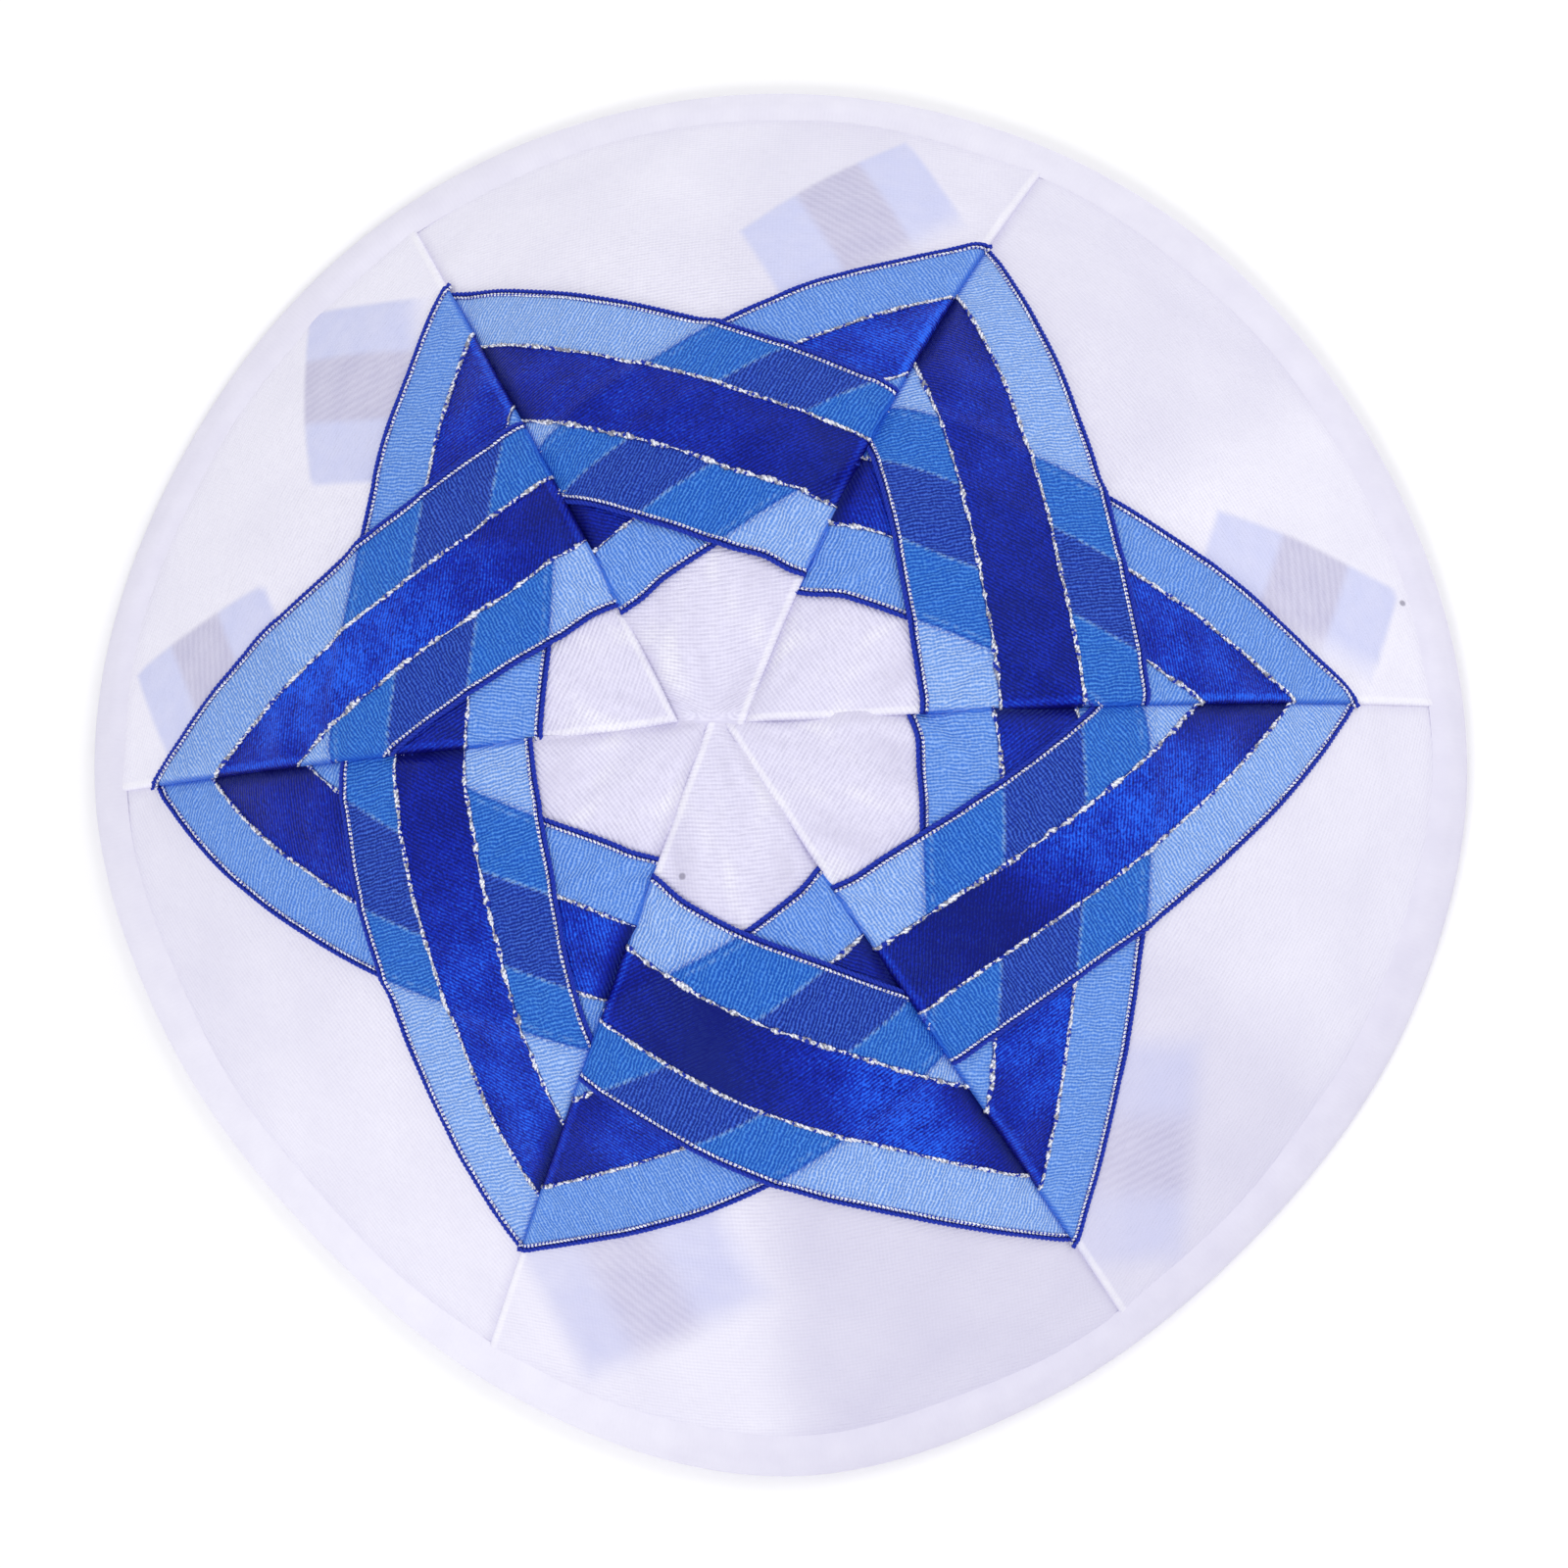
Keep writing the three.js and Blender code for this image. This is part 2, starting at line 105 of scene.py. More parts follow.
# Panels, counter-clockwise. raised says at which of its seams, low and high, a panel lies on
# top, and shine how light its satin looks towards them, as painted sheen. Ribbons: where the
# outer edge meets the seams, the width there as shares of RIBBON_WIDTH, the bow towards the
# rim, and how bright the royal satin looks at the point, at each quarter of the way and at the
# end, as painted sheen and shade.
PANELS = (
    dict(name="back_right", low="right", high="backRight", raised=(True, False), shine=(0.9, 0.55),
         upper=dict(point=0.798, inside=0.564, gather=(1.0, 1.08), bow=0.03,
                    painted_sheen=(0.1, 0.3, 0.2, 0.1, 0.15)),
         lower=dict(point=0.848, inside=0.505, gather=(0.92, 1.0), bow=0.07,
                    painted_sheen=(0.45, 0.5, 0.5, 0.4, 0.3))),
    dict(name="back", low="backRight", high="backLeft", raised=(True, False), shine=(0.65, 0.85),
         upper=dict(point=0.813, inside=0.53, gather=(1.08, 1.0), bow=0.0,
                    painted_sheen=(0.15, 0.3, 0.3, 0.2, 0.0)),
         lower=dict(point=0.797, inside=0.501, gather=(1.0, 0.98), bow=0.04,
                    painted_sheen=(0.6, 0.5, 0.5, 0.3, 0.15))),
    dict(name="back_left", low="backLeft", high="left", raised=(True, True), shine=(1.0, 0.95),
         upper=dict(point=0.9, inside=0.549, gather=(0.92, 0.95), bow=0.04,
                    painted_sheen=(0.3, 0.75, 0.7, 0.4, 0.0), bands=(0.34, 0.69)),
         lower=dict(point=0.825, inside=0.605, gather=(1.0, 1.04), bow=0.0,
                    painted_sheen=(0.35, 0.35, 0.3, 0.2, 0.1))),
    dict(name="front_left", low="left", high="frontLeft", raised=(False, False), shine=(0.6, 0.75),
         upper=dict(point=0.818, inside=0.593, gather=(0.89, 0.96), bow=0.17,
                    painted_sheen=(0.6, 0.5, 0.5, 0.2, 0.1)),
         lower=dict(point=0.898, inside=0.525, gather=(1.20, 0.86), bow=0.18,
                    painted_sheen=(0.1, 0.3, 0.4, 0.5, 0.6), bands=(0.27, 0.67))),
    dict(name="front", low="frontLeft", high="frontRight", raised=(True, False), shine=(0.75, 0.12),
         upper=dict(point=0.846, inside=0.565, gather=(1.0, 1.06), bow=0.02,
                    painted_sheen=(0.0, 0.8, 0.3, -0.2, 0.2)),
         lower=dict(point=0.818, inside=0.553, gather=(1.0, 1.03), bow=0.07,
                    painted_sheen=(0.05, 0.5, 0.3, 0.2, 0.1))),
    dict(name="front_right", low="frontRight", high="right", raised=(True, False), shine=(0.3, 0.65),
         upper=dict(point=0.848, inside=0.569, gather=(0.96, 1.0), bow=0.03,
                    painted_sheen=(0.0, 0.7, 0.65, -0.1, 0.1)),
         lower=dict(point=0.85, inside=0.561, gather=(0.92, 1.08), bow=0.06,
                    painted_sheen=(0.2, 0.6, 0.6, 0.4, 0.2))),
)

# Sewn-in ribbon ends that show through the satin, as points (u, t) of the panel: the two ends of
# the cut edge, from the crown's side, and a point further back along the first side. length is
# what can be seen of them, and clear is how clearly and sharply they show, where that isn't 1.
TAILS = (
    dict(panel="back_right", inner=(0.368, 0.738), outer=(0.172, 0.942), back=(0.173, 0.624), length=13.0),
    dict(panel="back", inner=(0.445, 0.737), outer=(0.208, 0.934), back=(0.278, 0.573), length=17.0),
    dict(panel="back_left", inner=(0.43, 0.757), outer=(0.202, 0.964), back=(0.28, 0.584), length=19.0),
    dict(panel="back_left", inner=(0.639, 0.757), outer=(0.82, 0.943), back=(0.841, 0.637), length=17.0),
    dict(panel="front", inner=(0.451, 0.767), outer=(0.159, 0.928), back=(0.346, 0.641), length=19.0,
         clear=0.6),
    dict(panel="front_right", inner=(0.374, 0.774), outer=(0.113, 0.949), back=(0.239, 0.654), length=15.0,
         clear=0.6),
)
TAIL_BANDS = (0.33, 0.70)    # the grey stripe of such an end, from the crown's side

# Painted sheen of the tape: how light it looks round the rim, angle in degrees, share.
TAPE_SHINE = (
    (0, 0.2), (45, 0.45), (90, 0.64), (135, 0.5), (180, 0.36), (210, 0.7), (235, 0.85), (255, 0.6),
    (275, 0.1), (300, 0.1), (330, 0.15),
)

# Small marks on the satin: x, y and radius in millimetres from the rim circle's centre.
MARKS = ((-11.7, -18.0, 0.5), (-57.8, 51.8, 0.4), (72.1, 20.4, 0.45))

RIM_SLOPE = math.atan(CROWN_HEIGHT * CROWN_POWER / RIM_RADIUS)
RIM_RUN = math.hypot(RIM_RADIUS, CROWN_HEIGHT * CROWN_POWER)
FOLD_RADIUS = PANEL_WALL / 2 + CLEARANCE + BINDING_WALL
FOLD_HEIGHT = math.sqrt(FOLD_RADIUS ** 2 - (BINDING_FOOT / 2) ** 2)
BINDING_TOP = 1 - BINDING_WIDTH / RIM_RUN
PANEL_END = 1 - (FOLD_RADIUS - PANEL_WALL / 2 * math.sin(RIM_SLOPE)) / RIM_RADIUS
DOME_FOOT = (FOLD_HEIGHT + PANEL_WALL / 2 * math.cos(RIM_SLOPE)
             - CROWN_HEIGHT * (1 - PANEL_END ** CROWN_POWER))


def smooth(x):
    """0 below 0, 1 above 1, and a smooth rise between."""
    x = np.clip(x, 0.0, 1.0)
    return x * x * (3 - 2 * x)


def unit(vectors):
    """The vectors, each made 1 long."""
    return vectors / np.linalg.norm(vectors, axis=-1, keepdims=True)


def ripple(x, y, length, seed, terms=7):
    """A gentle uneven surface between about -1 and 1, the same in every run."""
    draw = np.random.default_rng(seed)
    total = np.zeros(np.broadcast(x, y).shape)
    for _ in range(terms):
        way = draw.uniform(0, 2 * math.pi)
        wave = 2 * math.pi / (length * draw.uniform(0.7, 1.6))
        total += np.sin(wave * (x * math.cos(way) + y * math.sin(way)) + draw.uniform(0, 2 * math.pi))
    return total / math.sqrt(terms)


# The dome.

def rim_radius(angle):
    """The rim's radius at an angle in degrees, smoothly through RIM_OUTLINE."""
    rows = np.array(RIM_OUTLINE)
    angles = np.concatenate([rows[:, 0] - 360, rows[:, 0], rows[:, 0] + 360])
    shares = np.tile(rows[:, 1], 3)
    slopes = np.zeros_like(shares)
    slopes[1:-1] = (shares[2:] - shares[:-2]) / (angles[2:] - angles[:-2])
    turn = np.mod(angle, 360.0)
    i = np.searchsorted(angles, turn, side="right") - 1
    gap = angles[i + 1] - angles[i]
    f = (turn - angles[i]) / gap
    share = ((1 + 2 * f) * (1 - f) ** 2 * shares[i] + f * (1 - f) ** 2 * gap * slopes[i]
             + f * f * (3 - 2 * f) * shares[i + 1] + f * f * (f - 1) * gap * slopes[i + 1])
    return RIM_RADIUS * share


def rim_share(x, y):
    """How far a point seen from above lies from the crown, 0, to the rim, 1."""
    inner = np.zeros(np.broadcast(x, y).shape)
    outer = np.full_like(inner, 2.0)
    for _ in range(26):
        share = (inner + outer) / 2
        from_middle = x - CROWN_LEAN * (1 - share)
        angle = np.degrees(np.arctan2(y, from_middle))
        inside = np.hypot(from_middle, y) > rim_radius(angle) * share
        inner = np.where(inside, share, inner)
        outer = np.where(inside, outer, share)
    return (inner + outer) / 2


def dome_height(x, y):
    return DOME_FOOT + CROWN_HEIGHT * (1 - rim_share(x, y) ** CROWN_POWER)


def dome_normal(x, y):
    step = 0.1
    slope_x = (dome_height(x + step, y) - dome_height(x - step, y)) / (2 * step)
    slope_y = (dome_height(x, y + step) - dome_height(x, y - step)) / (2 * step)
    return unit(np.stack([-slope_x, -slope_y, np.ones_like(slope_x)], axis=-1))


class Gore:
    """One panel's surface, and the panel laid flat with the crown at the origin."""

    def __init__(self, row, seed):
        self.row = row
        self.seed = seed
        self.low = SEAMS[row["low"]]
        self.high = SEAMS[row["high"]]
        self.rows = np.linspace(0, 1, 161)
        middle = self.dome(0.5, self.rows)
        steps = np.linalg.norm(np.diff(middle, axis=0), axis=1)
        self.lengths = np.concatenate([[0], np.cumsum(steps)])
        u, t = np.meshgrid(np.linspace(0, 1, 13), self.rows)
        self.widths = np.linalg.norm(np.diff(self.dome(u, t), axis=1), axis=2).sum(axis=1)
        self.tails = []

    def plan(self, u, t):
        low = self.low["angle"] + self.low["twist"] * (1 - t)
        high = self.high["angle"] + self.high["twist"] * (1 - t)
        high = np.where(high < low, high + 360, high)
        angle = low + (high - low) * u
        reach = rim_radius(angle) * t
        start = self.low["high_start"] * (1 - u) + self.high["low_start"] * u
        x = CROWN_LEAN * (1 - t) + reach * np.cos(np.radians(angle)) + start * RIM_RADIUS * (1 - t) ** 3
        return x, reach * np.sin(np.radians(angle))

    def dome(self, u, t):
        x, y = self.plan(np.asarray(u, float), np.asarray(t, float))
        return np.stack([x, y, dome_height(x, y)], axis=-1)

    def length_at(self, t):
        return np.interp(t, self.rows, self.lengths)

    def width_at(self, t):
        return np.interp(t, self.rows, self.widths)

    def flat(self, u, t):
        length = self.length_at(t)
        angle = (0.5 - u) * self.width_at(t) / np.maximum(length, 1e-6)
        return np.stack([length * np.sin(angle), length * np.cos(angle)], axis=-1)

    def unflatten(self, p):
        length = np.hypot(p[..., 0], p[..., 1])
        t = np.interp(length, self.lengths, self.rows)
        return 0.5 - np.arctan2(p[..., 0], p[..., 1]) * length / self.width_at(t), t

    def seam_distances(self, u, t):
        width = self.width_at(t)
        return u * width, (1 - u) * width

    def relief(self, u, t):
        """Height of the satin's face above the smooth dome."""
        along = np.clip(t / BINDING_TOP, 0, 1)
        height = PANEL_PUFF * (1 - np.abs(2 * np.clip(u, 0, 1) - 1) ** 3) * 4 * along * (1 - along)
        free = 1 - smooth((t - 0.86) / 0.07)
        # Seams are thicker where ribbons are sewn in.
        bulk = (smooth((t - 0.40) / 0.08)
                * (1 - 0.5 * smooth((t - 0.84) / 0.04) - 0.5 * smooth((t - 0.90) / 0.05)))
        length = self.length_at(t)
        for distance, raised, seed in zip(self.seam_distances(u, t), self.row["raised"], (1, 2)):
            distance = np.maximum(distance, 0)
            pucker = ripple(length, 0 * length, 6.0, self.seed + seed, 4)
            step = SEAM_STEP + SEAM_BULK * bulk + 0.05 * pucker
            if raised:
                fall = 1 - np.minimum(distance / (0.5 + 0.4 * bulk), 1)
                roll = np.sqrt(np.clip(1 - fall ** 2, 0, 1))
                height = height + step * (roll - 1) + (0.28 + 0.36 * bulk) * np.exp(-distance / 2.6)
            else:
                height = height - (0.10 + 0.22 * bulk) * np.exp(-distance / 1.0)
            height = height + ((0.12 + 0.10 * bulk) * pucker
                               * np.exp(-distance / 4.0) * smooth(distance / 1.5))
        flat = self.flat(u, t)
        height = height + SLOW_WAVES * free * ripple(flat[..., 0], flat[..., 1], 16.0, self.seed + 5)
        crown = smooth(t / 0.06) * (1 - smooth((t - 0.30) / 0.16))
        folds = ripple(flat[..., 0], flat[..., 1] * 0.35, 8.0, self.seed + 7, 4)
        height = height + CROWN_FOLDS * crown * folds
        for tail in self.tails:
            height = height + TAIL_RELIEF * tail.cover(flat)
        return height

    def surface(self, u, t, offset=0.0):
        base = self.dome(u, t)
        normal = dome_normal(base[..., 0], base[..., 1])
        height = np.asarray(self.relief(u, t) + offset)[..., None]
        return base + normal * height, normal


class Tail:
    """A sewn-in ribbon end under the satin of a panel."""

    def __init__(self, gore, row):
        self.length = row["length"]
        self.clear = row.get("clear", 1.0)
        self.corner, outer, back = (
            gore.flat(*np.array(row[key], float)) for key in ("inner", "outer", "back")
        )
        away = (back - self.corner) / np.linalg.norm(back - self.corner)
        self.width = float(np.linalg.norm(outer - self.corner))
        self.into = np.linalg.inv(np.stack([outer - self.corner, away]))

    def place(self, flat):
        """Across from 0 to 1, and the way back from the cut edge in millimetres."""
        spot = (flat - self.corner) @ self.into
        return spot[..., 0], spot[..., 1]

    def cover(self, flat):
        """1 over the end, fading out round it."""
        across, back = self.place(flat)
        return (smooth((across + 0.04) / 0.08) * smooth((1.04 - across) / 0.08)
                * smooth((back + 0.8) / 1.6) * smooth((self.length - back) / 6.0))


# Ribbons.

class Strip:
    """The lines of one ribbon on a flat panel."""

    def __init__(self, gore, row, point_side):
        self.gore = gore
        self.point_side = point_side
        self.row = row
        self.bands = row.get("bands", BANDS)
        self.start = gore.flat(float(point_side), row["point"])
        self.end = gore.flat(1.0 - point_side, row["inside"])
        self.run = float(np.linalg.norm(self.end - self.start))
        self.along = (self.end - self.start) / self.run
        self.inward = np.array([-self.along[1], self.along[0]])
        if self.inward[1] > 0:
            self.inward = -self.inward

    def width_at(self, along):
        first, last = self.row["gather"]
        return RIBBON_WIDTH * (first + (last - first) * along)

    def bow_at(self, along):
        return RIBBON_WIDTH * self.row["bow"] * 4 * along * (1 - along)

    def flare_at(self, across, along):
        """How far the crown's side edge swings out near the seam at the inside end."""
        before_end = (1 - along) * self.run
        return FLARE * smooth((across - 0.5) / 0.5) * (1 - smooth(before_end / FLARE_RUN))

    def at(self, across, along):
        depth = across * self.width_at(along) - self.bow_at(along) + self.flare_at(across, along)
        return (self.start + np.asarray(along)[..., None] * self.run * self.along
                + np.asarray(depth)[..., None] * self.inward)

    def place(self, flat):
        """Across and along for points of the flat panel."""
        gap = flat - self.start
        along = gap @ self.along / self.run
        return (gap @ self.inward + self.bow_at(along)) / self.width_at(along), along

    def stripe(self, across):
        """Across as the colours have it, with the royal band from BANDS[0] to BANDS[1]."""
        inside = np.interp(across, (0, *self.bands, 1), (0, *BANDS, 1))
        return inside + np.minimum(across, 0) + np.maximum(across - 1, 0)

    def cut(self, across, side):
        """Where each line ends, just past the seam on one side of the panel."""
        past = 0.06 if self.gore.row["raised"][side] else 0.3
        at_point = side == self.point_side
        inside = np.full(np.shape(across), 0.75 if at_point else 0.5)
        outside = np.full(np.shape(across), -0.5 if at_point else 1.5)
        for _ in range(30):
            middle = (inside + outside) / 2
            u, t = self.gore.unflatten(self.at(across, middle))
            edge = past / self.gore.width_at(t)
            over = u > 1 + edge if side == 1 else u < -edge
            outside = np.where(over, middle, outside)
            inside = np.where(over, inside, middle)
        return inside

    def ends(self, across):
        return self.cut(across, self.point_side), self.cut(across, 1 - self.point_side)


def ribbon_lift(strip, below, across, flat):
    """Height of a ribbon's underside above the satin."""
    u, t = strip.gore.unflatten(flat)
    nearest = np.minimum(*strip.gore.seam_distances(u, t))
    sewn = smooth(nearest / 1.6)
    lift = RIBBON_LIFT + 0.09 * ripple(flat[..., 0], flat[..., 1], 9.0, 40 + strip.gore.seed) * sewn
    first, last = strip.bands
    band = np.clip((across - first) / (last - first), 0, 1)
    lift = np.maximum(lift, 0.03) + BAND_CROWN * np.sin(np.pi * band) * sewn
    if below is None:
        return 0.04 + (lift - 0.02) * sewn
    below_across, _ = below.place(flat)
    outside = np.maximum(0, np.maximum(-below_across, below_across - 1)) * RIBBON_WIDTH
    over = smooth(1 - outside / CROSS_RAMP)
    ridge = 0
    for centre in (0.0, *below.bands, 1.0):
        ridge = ridge + np.exp(-((below_across - centre) * RIBBON_WIDTH / 0.7) ** 2)
    height = lift + over * CROSS_LIFT + CROSS_RIDGE * ridge
    return 0.08 + (height - 0.04) * (0.35 + 0.65 * sewn)


# Meshes.

def slab_faces(rows, columns):
    """Faces of a closed slab: its top grid comes first, then its bottom grid."""
    top = np.arange(rows * columns).reshape(rows, columns)
    low = top + rows * columns
    quads = [
        np.stack([top[:-1, :-1], top[1:, :-1], top[1:, 1:], top[:-1, 1:]], -1).reshape(-1, 4),
        np.stack([low[:-1, :-1], low[:-1, 1:], low[1:, 1:], low[1:, :-1]], -1).reshape(-1, 4),
        np.stack([top[:-1, 0], low[:-1, 0], low[1:, 0], top[1:, 0]], -1),
        np.stack([top[1:, -1], low[1:, -1], low[:-1, -1], top[:-1, -1]], -1),
        np.stack([top[0, 1:], low[0, 1:], low[0, :-1], top[0, :-1]], -1),
        np.stack([top[-1, :-1], low[-1, :-1], low[-1, 1:], top[-1, 1:]], -1),
    ]
    return np.concatenate(quads)


def outward(points, faces):
    """The faces, turned round if they point inwards."""
    a, b, c = points[faces[:, 0]], points[faces[:, 1]], points[faces[:, 2]]
    d = points[faces[:, 3]]
    volume = (a * np.cross(b, c)).sum() + (a * np.cross(c, d)).sum()
    return faces if volume > 0 else faces[:, ::-1]


def in_frame(points):
    """Points from the rim circle's centre, in metres from the frame's origin."""
    return ((points + np.array([MIDDLE[0], MIDDLE[1], 0.0])) * MM).tolist()


def add_object(mesh):
    piece = bpy.data.objects.new(mesh.name, mesh)
    bpy.context.scene.collection.objects.link(piece)
    return piece


def make_piece(name, points, faces, material, maps, crease=55):
    """A mesh object in metres, with its place in its mesh."""
    mesh = bpy.data.meshes.new(name)
    mesh.from_pydata(in_frame(points), [], outward(points, faces).tolist())
    corners = np.empty(len(mesh.loops), np.int32)
    mesh.loops.foreach_get("vertex_index", corners)
    for map_name, values in maps.items():
        layer = mesh.uv_layers.new(name=map_name)
        layer.data.foreach_set("uv", np.asarray(values, np.float32)[corners].ravel())
    mesh.shade_smooth()
    mesh.set_sharp_from_angle(angle=math.radians(crease))
    mesh.materials.append(material)
    return add_object(mesh)


def both(top, bottom=None):
    """Values for a slab's top and bottom; the bottom has the top's own if none are given."""
    top = top.reshape(-1, top.shape[-1])
    return np.concatenate([top, top if bottom is None else np.full_like(top, bottom)])


def tail_map(gore, u, t):
    """How deep inside a sewn-in end a point lies, in centimetres, and its place across the end."""
    flat = gore.flat(u, t)
    spot = np.zeros(flat.shape)
    spot[..., 0] = -0.3
    for tail in gore.tails:
        across, back = tail.place(flat)
        depth = np.minimum(across, 1 - across) * tail.width
        depth = np.minimum(np.minimum(depth, back), (tail.length - back) * 0.2) / 10
        mine = depth > spot[..., 0]
        spot[..., 0] = np.where(mine, depth, spot[..., 0])
        spot[..., 1] = np.where(mine, across, spot[..., 1])
    return spot


def seam_map(gore, u, t):
    """Distances in centimetres to the nearest seam where the panel is on top, and below."""
    distances = np.stack(gore.seam_distances(u, t))
    raised = np.array(gore.row["raised"]).reshape(2, *[1] * u.ndim)
    return np.stack([np.where(raised, distances, FAR_OFF).min(axis=0) / 10,
                     np.where(raised, FAR_OFF, distances).min(axis=0) / 10], axis=-1)


def make_panel(gore, material):
    columns, rows = 76, 72
    first = 0.0
    while gore.width_at(first) < 0.12:
        first += 0.0005
    t = first + (PANEL_END - first) * np.linspace(0, 1, rows + 1)
    u = 0.5 - 0.5 * np.cos(np.pi * np.linspace(0, 1, columns + 1))
    u, t = np.meshgrid(u, t)
    tuck_low, tuck_high = [0.0 if raised else SEAM_TUCK for raised in gore.row["raised"]]
    width = np.maximum(gore.width_at(t), 1.5)
    u = -tuck_low / width + (1 + (tuck_low + tuck_high) / width) * u
    top, normal = gore.surface(u, t)
    bottom = gore.dome(u, t) + normal * (gore.relief(u, t) - PANEL_WALL)[..., None]
    if gore.width_at(0.0) > WIDE_TIP:
        tuck = np.array([0.0, -2 * SEAM_TUCK, -0.4])
        top = np.concatenate([top[:1] + tuck, top])
        bottom = np.concatenate([bottom[:1] + tuck, bottom])
        u = np.concatenate([u[:1], u])
        t = np.concatenate([t[:1], t])
    points = np.concatenate([top.reshape(-1, 3), bottom.reshape(-1, 3)])
    # Painted sheen of the satin, from one seam's side of the panel to the other's.
    first_shine, last_shine = gore.row["shine"]
    shine = first_shine + (last_shine - first_shine) * smooth((u - 0.39) / 0.16)
    clear = min((tail.clear for tail in gore.tails), default=0.0)
    maps = {
        "weave": both(gore.flat(u, t) / 100),
        "tail": both(tail_map(gore, u, t), -1.0),
        "seam": both(seam_map(gore, u, t)),
        "painted_light": both(np.stack([shine, t], axis=-1)),
        "clear": both(np.full((*t.shape, 2), clear)),
    }
    return make_piece("satin_" + gore.row["name"], points, slab_faces(*u.shape), material, maps)


def make_ribbon(strip, below, name, material):
    across_cells, along_cells = 36, 84
    across = np.linspace(0, 1, across_cells + 1)
    first, last = strip.ends(across)
    share = 0.5 - 0.5 * np.cos(np.pi * np.linspace(0, 1, along_cells + 1))
    share = 0.5 * share + 0.5 * np.linspace(0, 1, along_cells + 1)
    across = np.repeat(across[:, None], along_cells + 1, axis=1)
    along = first[:, None] + (last - first)[:, None] * share[None, :]
    flat = strip.at(across, along)
    u, t = strip.gore.unflatten(flat)
    low, normal = strip.gore.surface(u, t, ribbon_lift(strip, below, across, flat))
    top = low + normal * RIBBON_WALL
    if below is None:
        under = np.full(flat.shape, -1.0)
    else:
        below_across, below_along = below.place(flat)
        under = np.stack([below.stripe(below_across), below_along * below.run / 100], axis=-1)
    painted_sheen = np.interp(np.broadcast_to(share, across.shape), (0, 0.25, 0.5, 0.75, 1), strip.row["painted_sheen"])
    maps = {
        "ribbon": both(np.stack([strip.stripe(across), along * strip.run / 100], axis=-1)),
        "below": both(under),
        "tail": both(tail_map(strip.gore, u, t)),
        "seam": both(seam_map(strip.gore, u, t)),
        "painted_light": both(np.stack([painted_sheen, np.full(painted_sheen.shape, 0.0 if below is None else 1.0)], axis=-1)),
    }
    columns = np.clip(np.arange(-1, along_cells + 2), 0, along_cells)
    grid = np.arange(across.size).reshape(across.shape)[:, columns].ravel()
    maps = {key: np.concatenate([values[grid], values[grid + across.size]]) for key, values in maps.items()}
    # Both ends turn down over the edge of the panel at the seam.
    for end, inner, side in ((0, 1, strip.point_side), (-1, -2, 1 - strip.point_side)):
        drop = 0.6 if strip.gore.row["raised"][side] else 0.25
        into = unit(low[:, inner] - low[:, end])
        foot = low[:, end] - normal[:, end] * drop
        if end == 0:
            top = np.concatenate([foot[:, None], top], axis=1)
            low = np.concatenate([(foot + into * 0.12)[:, None], low], axis=1)
            normal = np.concatenate([normal[:, :1], normal], axis=1)
        else:
            top = np.concatenate([top, foot[:, None]], axis=1)
            low = np.concatenate([low, (foot + into * 0.12)[:, None]], axis=1)
    points = np.concatenate([top.reshape(-1, 3), low.reshape(-1, 3)])
    return make_piece(name, points, slab_faces(across_cells + 1, along_cells + 3), material, maps)


def cord_path(strip, below, across, step):
    """Points on a ribbon's top face along one of its lines, with the normals there."""
    first, last = strip.ends(np.array([across]))
    if across < 0.1:
        first = first - POINT_OVERRUN / strip.run
    count = max(int((last - first)[0] * strip.run / step), 8)
    along = np.linspace(first[0], last[0], count + 1)
    across = np.full_like(along, across)
    flat = strip.at(across, along)
    u, t = strip.gore.unflatten(flat)
    lift = ribbon_lift(strip, below, across, flat)
    return strip.gore.surface(u, t, lift + RIBBON_WALL)


def twisted(path, normal, radius, pitch, lay, pattern, sides=5, lumps=0.0, seed=0):
    """Two strands twisted round each other along a path.

    lay is how far their middle stands up, and pattern the material of each step in turn.
    Gives the points, and faces with their materials.
    """
    draw = np.random.default_rng(seed)
    side = unit(np.cross(unit(np.gradient(path, axis=0)), normal))
    travel = np.concatenate([[0], np.cumsum(np.linalg.norm(np.diff(path, axis=0), axis=1))])
    knots = np.arange(0, travel[-1] + pitch, pitch * 0.6)
    girth = radius * (1 + lumps * np.interp(travel, knots, draw.uniform(-1, 1, len(knots))))
    sway = lumps * 0.45 * radius * ripple(travel, 0 * travel, 4.0, seed + 3, 4)
    count = len(path)
    ring = np.linspace(0, 2 * np.pi, sides, endpoint=False)
    points, faces = [], []
    for strand in (0, 1):
        kinds = np.repeat(np.resize(np.roll(pattern, 6 * strand), count - 1), sides).tolist()
        phase = 2 * np.pi * travel / pitch + strand * np.pi
        centre = (path + normal * lay + side * sway[:, None]
                  + (normal * np.cos(phase)[:, None] + side * np.sin(phase)[:, None])
                  * (girth * 0.85)[:, None])
        run = unit(np.gradient(centre, axis=0))
        out = unit(normal - run * (normal * run).sum(axis=1, keepdims=True))
        cross = np.cross(run, out)
        rings = (centre[:, None, :] + girth[:, None, None]
                 * (out[:, None, :] * np.cos(ring)[None, :, None]
                    + cross[:, None, :] * np.sin(ring)[None, :, None]))
        base = strand * (count * sides + 2)
        index = base + np.arange(count * sides).reshape(count, sides)
        after = np.roll(index, -1, axis=1)
        quads = np.stack([index[:-1], after[:-1], after[1:], index[1:]], -1).reshape(-1, 4)
        tip = base + count * sides
        start_cap = np.stack([after[0], index[0], np.full(sides, tip)], -1)
        end_cap = np.stack([index[-1], after[-1], np.full(sides, tip + 1)], -1)
        points.append(np.concatenate([rings.reshape(-1, 3), centre[:1], centre[-1:]]))
        faces.append((quads, kinds))
        faces.append((start_cap, kinds[:sides]))
        faces.append((end_cap, kinds[-sides:]))
    return np.concatenate(points), faces


